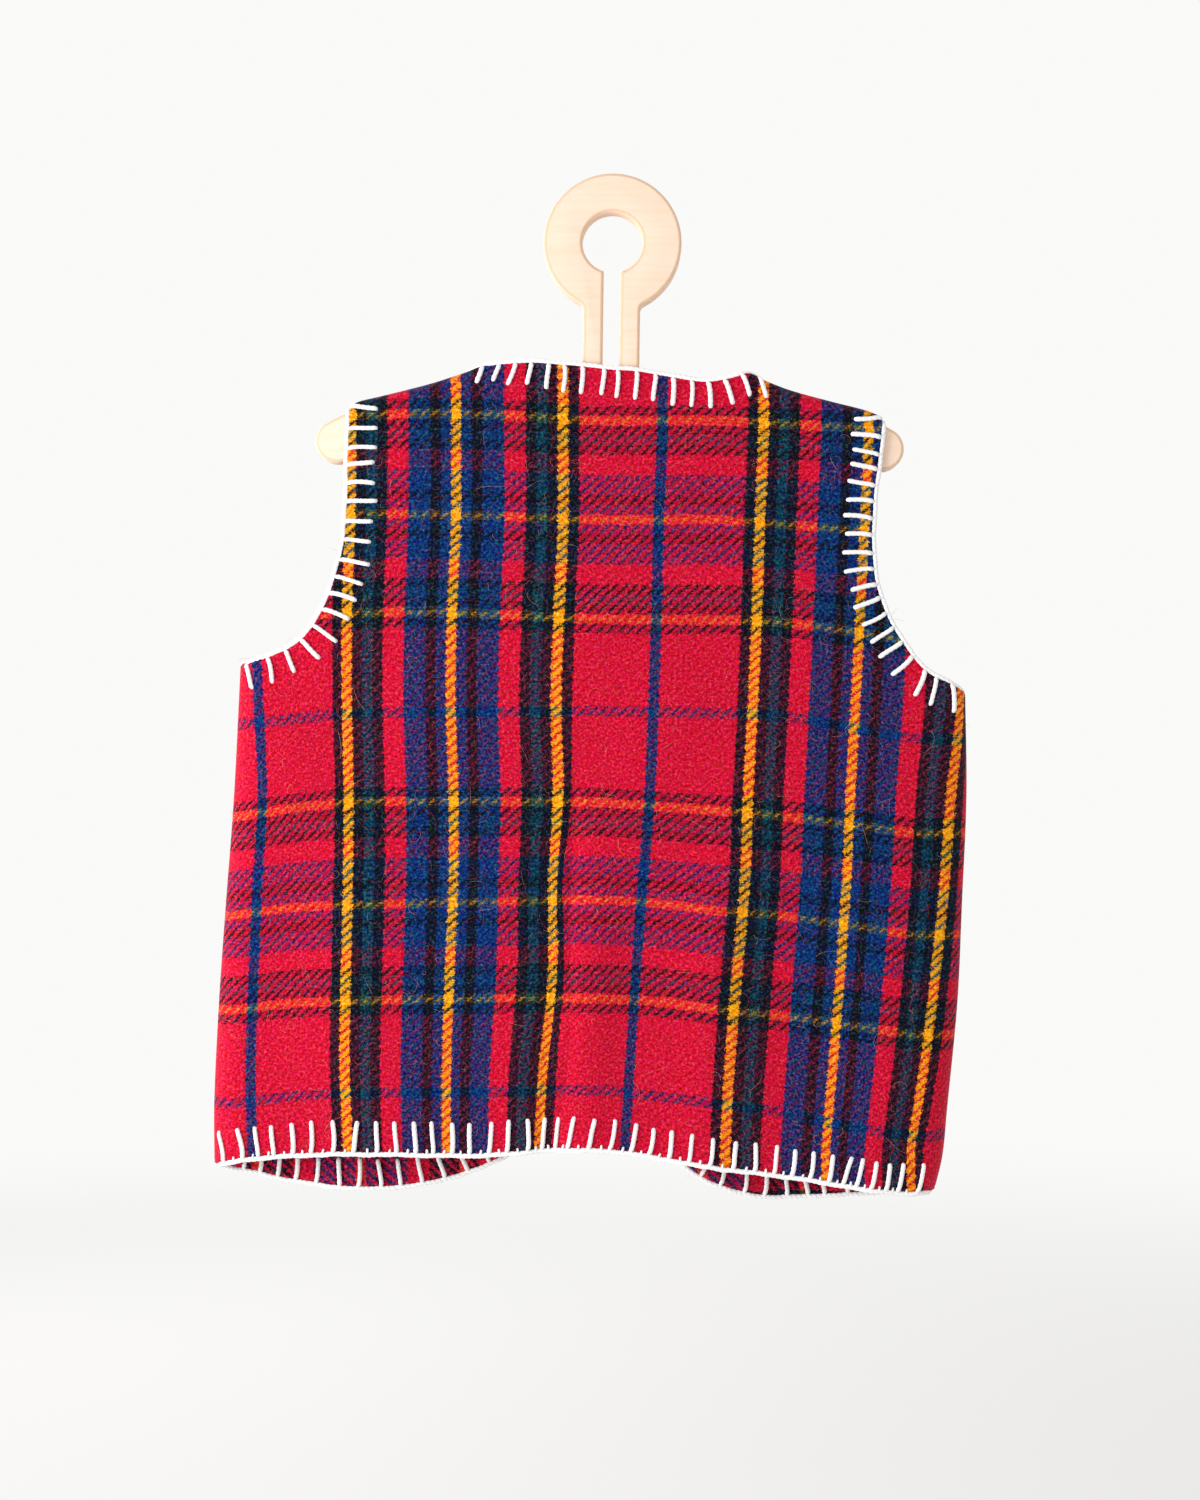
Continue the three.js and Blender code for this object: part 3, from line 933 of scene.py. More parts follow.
def front_panel(
    name: str,
    hem: Sequence[Point],
    corner: Point,
    edge: Sequence[Point],
    outer: Curve,
    tip: Point,
    neck_x: float,
    folds: tuple[Fold, ...],
    setting: Setting,
) -> Panel:
    """Lays out a front, from its side seam to its open edge, with a rounded lower corner.

    Args:
        name: name of the piece.
        hem: points along the hem, from the side seam to where the corner starts to round.
        corner: width and height of the corner's quarter ellipse.
        edge: points up the open edge and neckline.
        outer: side seam and armhole.
        tip: outer end of the shoulder.
        neck_x: inner end of the shoulder.
        folds: folds of the panel.
        setting: threads of the panel.

    Returns:
        Panel: the front.
    """
    inward = math.copysign(1, -tip[0])
    centre = np.array([hem[-1][0], hem[-1][1] + corner[1]])

    def arc(start: float, end: float) -> list[Point]:
        """Lists points round the corner between two angles from straight down."""
        angle = np.linspace(start, end, CORNER_STEPS + 1)
        spread = np.stack([inward * corner[0] * np.sin(angle), -corner[1] * np.cos(angle)], -1)
        return [tuple(point) for point in centre + spread]

    def shoulder(x: Array) -> Array:
        """Reads the shoulder's height, level past the neck."""
        return top_z(np.minimum(x, neck_x) if inward > 0 else np.maximum(x, neck_x))

    return Panel(
        name=name,
        facing=1,
        foot=Line.through([*hem[:-1], *arc(0, math.pi / 4)]),
        head=level_edge(tip, (neck_x, 0), top_z),
        outer=outer,
        inner=Line.through([*arc(math.pi / 4, math.pi / 2)[:-1], *edge]),
        columns=stations(FRONT_WIDTH, FRONT_COLUMNS, SIDE, None),
        rows=rows_of_panel(),
        shoulder=shoulder,
        lift=np.zeros_like,
        folds=folds,
        setting=setting,
        flat=(0.196, 0.412),
        area=0.062,
    )


def left_front_panel() -> Panel:
    """Lays out the front on the wearer's left.

    Returns:
        Panel: the front.
    """
    return front_panel(
        "left_front_cloth", LEFT_FRONT_HEM, LEFT_CORNER, LEFT_FRONT_EDGE, left_edge, LEFT_TIP,
        LEFT_NECK_X, LEFT_FRONT_FOLDS, front_setting(-78, -126.3, 0.02),
    )


def right_front_panel() -> Panel:
    """Lays out the front on the wearer's right.

    Returns:
        Panel: the front.
    """
    return front_panel(
        "right_front_cloth", RIGHT_FRONT_HEM, RIGHT_CORNER, RIGHT_FRONT_EDGE, right_edge, RIGHT_TIP,
        RIGHT_NECK_X, RIGHT_FRONT_FOLDS, front_setting(118, 98.5, 0.05),
    )


@dataclass(frozen=True)
class Yarn:
    """Thick two-ply wool for the blanket stitch, in millimetres.

    A leg starts before the edge at a negative depth, rises onto the cloth, hooks back a little near
    the edge, bends, and dives into the cloth at its end. It tapers to both ends, for a share of its
    length, as sqrt(1 - (2 * share - 1) ^ blunt). The purl sags outwards between legs.
    """

    leg_half_width: float = 1.12
    leg_half_height: float = 0.95
    purl_radius: float = 1.3
    purl_out: float = 0.45
    purl_lift: float = 0.25
    purl_sag: float = 0.75
    purl_sway: float = 0.2
    sway_turn: float = 2.3
    sway_start: float = 0.7
    nub_half_width: float = 0.62
    nub_reach: tuple[float, float] = (1.3, 1.9)
    nub_slope: float = 0.2
    nub_shift: float = 0.8
    twist: float = 5.2
    lobe: float = 0.09
    leg_steps: int = 16
    sides: int = 10
    purl_step: float = 0.8
    leg_start: float = -0.5
    leg_end: float = 0.4
    slope: float = 0.06
    known_slope_share: float = 0.3
    bend: float = 0.035
    hook: float = 0.06
    hook_length: float = 1.6
    bedding: float = 0.62
    edge_height: float = 0.5
    rising: tuple[float, float] = (-0.6, 1.6)
    diving: tuple[float, float] = (-1.5, 0.5)
    dive: float = 1.9
    blunt: int = 14
    thinnest: float = 0.001
    unevenness: float = 0.07
    spacing: float = 0.1
    evening: float = 7.0
    purl_window: int = 9
    level_from: float = 0.3


YARN = Yarn()
# The stitches of the neck, the hem and the fronts' lower edges that the camera sees: where each leg
# stands, and how far it leans to +x of square to the edge for each millimetre of its length
NECK_STITCHES = (
    (-64.2, -0.82), (-55.9, -0.63), (-47.9, -0.48), (-40, -0.24), (-31.3, -0.09), (-23.7, -0.02),
    (-14.6, -0.01), (-3.8, -0.08), (2.9, -0.04), (12.4, 0.02), (21.9, 0.02), (30.4, 0.1),
    (39.6, 0.06), (47.7, 0.02), (55.9, 0.08), (64.4, 0.26), (72.1, 0.9),
)
HEM_STITCHES = (
    (-191.9, 0.07), (-182.8, -0.05), (-174.9, -0.05), (-167.2, -0.05), (-158, -0.03), (-149, 0.01),
    (-138, -0.02), (-127.8, 0.08), (-116.2, -0.06), (-106.5, -0.12), (-97.1, -0.12), (-88.4, -0.11),
    (-79.3, -0.04), (-70.4, -0.03), (-61, 0.11), (-52, 0.11), (-42, 0.03), (-35, 0.14),
    (-28, 0.11), (-21.5, 0.19), (-11.6, 0.15), (-1.5, 0.07), (9, 0.01), (18, -0.01),
    (28.2, -0.09), (38.1, -0.09), (48.2, -0.07), (59.9, -0.08), (70.6, -0.13), (80.3, -0.07),
    (89.1, -0.04), (98, -0.04), (107.4, -0.04), (114.4, 0.13), (120.7, 0.07), (127.8, 0.01),
    (135.1, 0), (141.1, 0.09), (150.7, 0.17),
)
LEFT_FRONT_STITCHES = (
    (-177.4, -0.2), (-168.4, -0.14), (-159.4, -0.13), (-148.8, -0.08), (-136.8, -0.16),
    (-127.7, -0.02), (-116.2, -0.16), (-106.5, -0.1), (-95.6, -0.07), (-84.3, -0.1),
    (-72.5, -0.14), (-61.6, -0.05),
)
RIGHT_FRONT_STITCHES = (
    (44.8, -0.2), (54.4, -0.22), (66.6, -0.19), (76.7, -0.05), (88.5, -0.11), (99.4, -0.2),
    (107.8, -0.15), (119.2, -0.12),
)
# How far above the lowest point of an edge its stitches are known
KNOWN_HEIGHT = 30.0
# How far legs reach into the cloth, and how far they lean, by x
NECK_REACHES = (
    (-76, 6), (-64, 6.2), (-56, 7.4), (-48, 10.3), (-40, 11), (-31, 13.1), (40, 13.4), (56, 12.5),
    (64, 11), (72, 8), (77, 8),
)
HEM_REACHES = ((-198, 15.6), (-12, 15.6), (12, 14.2), (159, 14.2))
ARM_REACHES = ((-186, 12.4), (-165, 12.4), (-150, 14.2), (145, 14.2), (160, 12.8), (176, 12.8))
ARM_LEANS = (
    (-186, -0.15), (-165, -0.13), (-150, 0), (145, 0), (154, 0.22), (161, 0.3), (168, 0.5), (176, 0.5),
)
EVEN_REACH = ((-200.0, 14.2), (200.0, 14.2))
NO_LEAN = ((-200.0, 0.0), (200.0, 0.0))


def yarn_tubes(
    paths: Array,
    normals: Array,
    wide: Array,
    thick: Array,
    closed: bool,
    sides: int = YARN.sides,
    lobe: float = YARN.lobe,
) -> tuple[Array, list[Array], Array]:
    """Carries a twisted two-ply section along a set of paths.

    At each step the section is an ellipse across the path, wide along the cloth and thick away from
    it, whose radius swells twice a turn round a direction that twists along the path.

    Args:
        paths: points, paths by steps by 3.
        normals: directions away from the cloth at those points.
        wide: half widths at those points.
        thick: half heights at those points.
        closed: whether each path joins its own start.
        sides: corners of the section.
        lobe: how far the two plies swell the section.

    Returns:
        tuple: vertices, arrays of faces, and for each vertex the turns round its section and those
            of the twist up to it.
    """
    count, steps = paths.shape[:2]
    ahead = np.roll(paths, -1, 1) - np.roll(paths, 1, 1)
    if not closed:
        ahead[:, 0] = paths[:, 1] - paths[:, 0]
        ahead[:, -1] = paths[:, -1] - paths[:, -2]
    tangent = unit(ahead)
    across = unit(np.cross(normals, tangent))
    away = np.cross(tangent, across)
    step = np.linalg.norm(np.diff(paths, axis=1), axis=-1)
    length = np.concatenate([np.zeros((count, 1)), np.cumsum(step, axis=1)], 1)
    turn = np.linspace(0, 2 * math.pi, sides, endpoint=False)
    phase = length * (2 * math.pi / YARN.twist)
    if closed:
        whole = np.round(length[:, -1:] / YARN.twist)
        phase = length / length[:, -1:] * whole * 2 * math.pi
    swell = 1 + lobe * np.cos(2 * turn - 2 * phase[..., None])
    ring = (
        across[:, :, None] * (np.cos(turn) * swell * wide[..., None])[..., None]
        + away[:, :, None] * (np.sin(turn) * swell * thick[..., None])[..., None]
    )
    vertices = (paths[:, :, None] + ring).reshape(-1, 3)
    index = np.arange(count * steps * sides).reshape(count, steps, sides)
    follow = np.roll(index, -1, 1) if closed else index[:, 1:]
    here = index if closed else index[:, :-1]
    faces = [quads_of(here, np.roll(here, -1, 2), np.roll(follow, -1, 2), follow)]
    if not closed:
        faces.append(index[:, 0, ::-1])
        faces.append(index[:, -1])
    spin = np.broadcast_to(turn, (count, steps, sides)) / (2 * math.pi)
    run = np.broadcast_to(phase[..., None] / (2 * math.pi), spin.shape)
    return vertices, faces, np.stack([spin, run], -1).reshape(-1, 2)


@dataclass
class StitchedEdge:
    """A stretch of one panel's free edge with its blanket stitches.

    The plan runs along the edge. Inward is 1 where the panel lies to the left of it, otherwise -1.
    """

    panel: Panel
    plan: Array
    inward: int
    pitch: float = 9.9
    reaches: tuple[Point, ...] = EVEN_REACH
    spread: float = 1.1
    skip: tuple[float, float] = (4.0, 4.0)
    leans: tuple[Point, ...] = NO_LEAN
    known: tuple[Point, ...] = ()
    nubbed: bool = False

    def ways(self) -> tuple[Array, Array]:
        """Finds the directions at each point of the edge, evened out near corners.

        Returns:
            tuple: unit vectors along the edge and into the panel.
        """
        step = lengths_along(self.plan)[-1] / (len(self.plan) - 1)
        reach = max(1, round(YARN.evening / step))
        ends = [np.repeat(self.plan[k], reach, axis=0) for k in (slice(0, 1), slice(-1, None))]
        padded = np.concatenate([ends[0], self.plan, ends[1]])
        tangent = unit(padded[2 * reach :] - padded[: -2 * reach])
        return tangent, turned_left(tangent) * self.inward

    def seen(self) -> Array:
        """Marks the points of the edge that lie low enough for their stitches to be known."""
        return self.plan[:, 1] < self.plan[:, 1].min() + KNOWN_HEIGHT

    def places(self, draw: np.random.Generator) -> Array:
        """Places the stitches along the edge.

        Known ones stand where the table has them, and the rest are spaced out before and after.

        Args:
            draw: source of chance.

        Returns:
            Array: lengths along the edge at which the legs stand.
        """
        length = lengths_along(self.plan)
        ends = (self.skip[0], length[-1] - self.skip[1])
        if not self.known:
            return self.spaced(draw, *ends)
        low = np.flatnonzero(self.seen())
        low = low[np.argsort(self.plan[low, 0])]
        known = np.sort(np.interp([x for x, _ in self.known], self.plan[low, 0], length[low]))
        before, after = self.spaced(draw, ends[0], known[0]), self.spaced(draw, known[-1], ends[1])
        return np.concatenate([before[:-1], known, after[1:]])

    def spaced(self, draw: np.random.Generator, start: float, end: float) -> Array:
        """Spaces stitches a little unevenly from one length along the edge to another.

        Args:
            draw: source of chance.
            start: first length.
            end: last length.

        Returns:
            Array: the lengths, or only the first where fewer than two stitches fit.
        """
        count = round((end - start) / self.pitch)
        if count < 2:
            return np.array([start])
        shift = draw.uniform(-YARN.spacing, YARN.spacing, count + 1) * self.pitch
        return np.linspace(start, end, count + 1) + shift

    def legs(self, draw: np.random.Generator, side: int) -> tuple[Array, Array, Array, Array]:
        """Lays the legs of the stitches on one side of the cloth.

        Args:
            draw: source of chance.
            side: 1 for the face of the cloth, -1 for its reverse.

        Returns:
            tuple: paths, normals, half widths and half heights for yarn_tubes.
        """
        length = lengths_along(self.plan)
        at = self.places(np.random.default_rng(len(length)))
        x = np.interp(at, length, self.plan[:, 0])
        reach = Reading(*zip(*self.reaches))(x) + draw.uniform(-self.spread, self.spread, len(at))
        slope = draw.uniform(-YARN.slope, YARN.slope, len(at))
        slope = slope * (YARN.known_slope_share if self.known else 1.0)
        near = np.interp(at, length, self.seen()) > 0.5 if self.known else 1.0
        slope = slope + Reading(*zip(*(self.known or self.leans)))(x) * near
        return self.strands(draw, side, at, reach, slope, YARN.leg_half_width)

    def nubs(self, draw: np.random.Generator) -> tuple[Array, Array, Array, Array]:
        """Lays the short ends of yarn that show past the purl, one midway between two legs.

        Args:
            draw: source of chance.

        Returns:
            tuple: paths, normals, half widths and half heights for yarn_tubes.
        """
        at = self.places(np.random.default_rng(len(self.plan)))
        at = (at[1:] + at[:-1]) / 2 + draw.uniform(-YARN.nub_shift, YARN.nub_shift, len(at) - 1)
        reach = draw.uniform(*YARN.nub_reach, len(at))
        slope = draw.uniform(-YARN.nub_slope, YARN.nub_slope, len(at))
        return self.strands(draw, 1, at, reach, slope, YARN.nub_half_width)

    def strands(
        self,
        draw: np.random.Generator,
        side: int,
        at: Array,
        reach: Array,
        slope: Array,
        half_width: float,
    ) -> tuple[Array, Array, Array, Array]:
        """Lays strands that run into the panel from the edge, lean and dip into the cloth at their ends.

        Args:
            draw: source of chance.
            side: 1 for the face of the cloth, -1 for its reverse.
            at: lengths along the edge at which the strands start.
            reach: how far each runs in.
            slope: how far each leans for each millimetre of that.
            half_width: half their width.

        Returns:
            tuple: paths, normals, half widths and half heights for yarn_tubes.
        """
        length = lengths_along(self.plan)
        start, along, across = (read_along(at, length, pairs) for pairs in (self.plan, *self.ways()))
        reach = reach[:, None]
        share = np.linspace(0, 1, YARN.leg_steps)[None]
        deep = YARN.leg_start + (reach + (YARN.leg_end - YARN.leg_start)) * share
        bend = draw.uniform(-YARN.bend, YARN.bend, len(at))[:, None] * reach * np.sin(math.pi * share)
        level = slope[:, None] * np.where(deep > 0, deep, 0) + bend
        level = level - YARN.hook * reach * np.exp(-np.maximum(deep, 0) / YARN.hook_length)
        plan = start[:, None] + unit(across)[:, None] * deep[..., None]
        plan = plan + self.level_way(unit(along))[:, None] * level[..., None]
        climb = WALL / 2 + YARN.bedding * YARN.leg_half_height - YARN.edge_height
        dive = smoothstep(deep, *(reach + shift for shift in YARN.diving))
        out = YARN.edge_height + climb * smoothstep(deep, *YARN.rising) - YARN.dive * dive
        x, z = plan[..., 0], plan[..., 1]
        normal = self.panel.normal(x, z) * side
        paths = self.panel.surface(x, z) + normal * out[..., None]
        taper = np.sqrt(np.clip(1 - ((share - 0.5) / 0.5) ** YARN.blunt, 0, 1))
        taper = taper * (1 - YARN.thinnest) + YARN.thinnest
        swell = 1 + draw.uniform(-YARN.unevenness, YARN.unevenness, len(at))[:, None]
        wide = half_width * taper * swell
        return paths, normal, wide, YARN.leg_half_height * taper * swell

    def level_way(self, along: Array) -> Array:
        """Turns directions along the edge so that they point to +x, or up where the edge is upright.

        Args:
            along: directions along the edge.

        Returns:
            Array: the same directions or their opposites.
        """
        flat = np.abs(along[:, 0]) > YARN.level_from
        sign = np.where(flat, np.sign(along[:, 0]), np.sign(along[:, 1]))
        return along * sign[:, None]

    def purl(self) -> tuple[Array, Array]:
        """Runs the yarn along the edge, pulled in a little at each leg.

        Returns:
            tuple: points in space along the edge, and normals of the cloth there.
        """
        length = lengths_along(self.plan)
        at = self.places(np.random.default_rng(len(length)))
        count = max(2, round(length[-1] / YARN.purl_step))
        even = np.linspace(0, length[-1], count, endpoint=False)
        plan, into = (read_along(even, length, pairs) for pairs in (self.plan, self.ways()[1]))
        phase = np.interp(even, at, np.arange(len(at)))
        sway = YARN.purl_sway * np.sin(phase * YARN.sway_turn + YARN.sway_start)
        sag = YARN.purl_sag * np.sin(math.pi * phase) ** 2 + sway
        shifted = plan - unit(into) * (YARN.purl_out + sag)[:, None]
        normal = self.panel.normal(*plan.T)
        point = self.panel.surface(*plan.T)
        point[:, [0, 2]] = shifted
        return point + normal * YARN.purl_lift, normal


def edge_of(curve: Curve, start: float, end: float) -> Array:
    """Samples an edge of a panel between two shares, as (x, z)."""
    return curve(np.linspace(start, end, EDGE_POINTS))


def free_edge(front: Panel) -> Array:
    """Samples a front's hem, round corner, open edge and neckline in one run, as (x, z)."""
    return np.concatenate([edge_of(front.foot, 0, 1), edge_of(front.inner, 0, 1)[1:]])


@dataclass
class Stitching:
    """The blanket stitch round one opening, or round the whole free edge of the body."""

    name: str
    edges: tuple[StitchedEdge, ...]
    seed: int

    def build(self, yarn: bpy.types.Material) -> bpy.types.Object:
        """Makes the legs on both sides of the cloth and the purl that joins them at the edge.

        Args:
            yarn: finish of the yarn.

        Returns:
            Object: the stitching as one piece.
        """
        draw = np.random.default_rng(self.seed)
        blocks = []
        for edge in self.edges:
            for side in (1, -1):
                blocks.append(yarn_tubes(*edge.legs(draw, side), closed=False))
            if edge.nubbed:
                blocks.append(yarn_tubes(*edge.nubs(draw), closed=False))
        runs = [edge.purl() for edge in self.edges]
        path = np.concatenate([run[0] for run in runs])
        normal = unit(np.concatenate([run[1] for run in runs]))
        path, normal = evened(path, YARN.purl_window), unit(evened(normal, YARN.purl_window))
        size = np.full((1, len(path)), YARN.purl_radius)
        blocks.append(yarn_tubes(path[None], normal[None], size, size, closed=True))
        piece = joined(self.name, blocks, yarn)
        log.info("%s: %d faces", piece.name, len(piece.data.polygons))
        return piece


def evened(values: Array, window: int) -> Array:
    """Smooths a closed row of vectors by the mean over a window."""
    half = window // 2
    total = sum(np.roll(values, step, 0) for step in range(-half, half + 1))
    return total / (2 * half + 1)


def joined(
    name: str,
    blocks: Sequence[tuple[Array, list[Array], Array]],
    material: bpy.types.Material,
) -> bpy.types.Object:
    """Makes one piece of several blocks of vertices, faces and yarn coordinates.

    Args:
        name: name of the piece.
        blocks: results of yarn_tubes.
        material: finish of the piece.

    Returns:
        Object: the piece.
    """
    starts = np.cumsum([0, *(len(vertices) for vertices, _, _ in blocks)])
    faces = [rows + start for (_, groups, _), start in zip(blocks, starts) for rows in groups]
    vertices = np.concatenate([vertices for vertices, _, _ in blocks])
    lay = np.concatenate([pairs for _, _, pairs in blocks])
    return new_piece(name, vertices, faces, [material], {"Lay": lay})


@dataclass
class Fuzz:
    """Stray fibres that curl over the face of a panel, each a thin three-sided tube."""

    panel: Panel
    count: int
    seed: int
    length: tuple[float, float] = (4.0, 17.0)
    radius: tuple[float, float] = (0.03, 0.055)
    steps: int = 7
    loft: tuple[float, float] = (0.25, 1.1)
    across: tuple[float, float] = (0.04, 0.96)
    up: tuple[float, float] = (0.02, 0.97)
    cells: int = 239
    scatter: float = 0.8
    shortness: float = 2.2
    curl: tuple[float, float] = (1.5, 1.6)
    bedding: float = 0.15
    tip_share: float = 0.4

    def build(self, material: bpy.types.Material) -> bpy.types.Object:
        """Scatters the fibres over the panel.

        Each starts at a chance place and heading, turns a little more at every step, rises from the
        cloth as half a sine wave and dips back into it. Places are drawn by the area of the cells of a
        grid. Lengths are drawn from 0 to 1 and raised to a power, so that most are short.

        Args:
            material: finish of the fibres.

        Returns:
            Object: the fibres as one piece.
        """
        draw = np.random.default_rng(self.seed)
        panel = self.panel
        one_each = (self.count, 1)
        grid = panel.plan(*(np.linspace(*ends, self.cells + 1) for ends in (self.across, self.up)))
        up, across = (np.diff(grid, axis=k)[: self.cells, : self.cells] for k in (0, 1))
        area = np.abs(up[..., 0] * across[..., 1] - up[..., 1] * across[..., 0])
        cell = draw.choice(area.size, self.count, p=area.ravel() / area.sum())
        start = grid[cell // self.cells, cell % self.cells]
        start = start + draw.uniform(-self.scatter, self.scatter, (self.count, 2))
        share = np.linspace(0, 1, self.steps)
        least, most = self.length
        length = draw.uniform(0, 1, self.count) ** self.shortness * (most - least) + least
        heading = draw.uniform(0, 2 * math.pi, one_each)
        steady, growing = (draw.normal(0, amount, one_each) for amount in self.curl)
        bend = steady * share + growing * share**2
        stride = (length / (self.steps - 1))[:, None]
        x, z = (
            start[:, k, None] + np.cumsum(stride * turned, axis=1)
            for k, turned in ((0, np.cos(heading + bend)), (1, np.sin(heading + bend)))
        )
        loft = draw.uniform(*self.loft, one_each)
        out = WALL / 2 - self.bedding + loft * np.sin(math.pi * share)
        normal = panel.normal(x, z)
        paths = panel.surface(x, z) + normal * out[..., None]
        size = draw.uniform(*self.radius, one_each) * np.ones_like(x)
        size[:, [0, -1]] *= self.tip_share
        sides = 3
        vertices, faces, _ = yarn_tubes(paths, normal, size, size, closed=False, sides=sides, lobe=0.0)
        shade = np.repeat(draw.uniform(0, 1, (self.count, 2)), self.steps * sides, axis=0)
        name = panel.name.replace("cloth", "fuzz")
        piece = new_piece(name, vertices, faces, [material], {"Shade": shade})
        log.info("%s: %d fibres", piece.name, self.count)
        return piece


@dataclass
class Vest:
    """The vest: three panels of checked wool and the blanket stitch round their free edges."""

    back: Panel = field(default_factory=back_panel)
    left_front: Panel = field(default_factory=left_front_panel)
    right_front: Panel = field(default_factory=right_front_panel)

    def stitching(self) -> tuple[Stitching, ...]:
        """Lays out the stitched edges: each armhole, and the body's edge once round.

        Returns:
            tuple: the runs of stitching.
        """
        low, top = UNDERARM_SHARE, 1.0
        armholes = tuple(
            Stitching(
                f"{side}_armhole_stitch",
                (
                    StitchedEdge(
                        self.back, edge_of(curve, top, low), -turn, pitch, ARM_REACHES, skip=(1.0, last),
                        leans=ARM_LEANS,
                    ),
                    StitchedEdge(front, edge_of(curve, low, top), turn, pitch, skip=(last, 2.0)),
                ),
                seed,
            )
            for side, curve, front, turn, pitch, last, seed in (
                ("left", left_edge, self.left_front, -1, 9.4, 5.0, 11),
                ("right", right_edge, self.right_front, 1, 8.2, 8.0, 12),
            )
        )
        neck_x = np.linspace(LEFT_NECK_X, RIGHT_NECK_X, EDGE_POINTS)
        neck = np.stack([neck_x, top_z(neck_x)], -1)
        body = Stitching(
            "body_edge_stitch",
            (
                StitchedEdge(
                    self.back, neck, -1, reaches=NECK_REACHES, spread=0.5, known=NECK_STITCHES,
                ),
                StitchedEdge(
                    self.right_front, free_edge(self.right_front)[::-1], 1, known=RIGHT_FRONT_STITCHES,
                ),
                StitchedEdge(
                    self.back, edge_of(self.back.foot, 1, 0), -1, reaches=HEM_REACHES, spread=0.6,
                    known=HEM_STITCHES, nubbed=True,
                ),
                StitchedEdge(
                    self.left_front, free_edge(self.left_front), 1, known=LEFT_FRONT_STITCHES,
                ),
            ),
            13,
        )
        return (*armholes, body)

    def build(
        self,
        face: bpy.types.Material,
        reverse: bpy.types.Material,
        yarn: bpy.types.Material,
        fibre: bpy.types.Material,
    ) -> None:
        """Makes and declares every piece of the vest.

        Args:
            face: finish of the cloth's face.
            reverse: finish of its reverse.
            yarn: finish of the stitching.
            fibre: finish of the stray fibres.
        """
        panels = (
            (self.back, "back", 2600, 21),
            (self.left_front, "left_front", 1100, 22),
            (self.right_front, "right_front", 1100, 23),
        )
        for panel, _, count, seed in panels:
            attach(Fuzz(panel, count, seed).build(fibre), BODY)
        for panel, node, _, _ in panels:
            piece = panel.build([face, reverse])
            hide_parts(node)
            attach(piece, BODY)
        for stitching in self.stitching():
            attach(stitching.build(yarn), BODY)


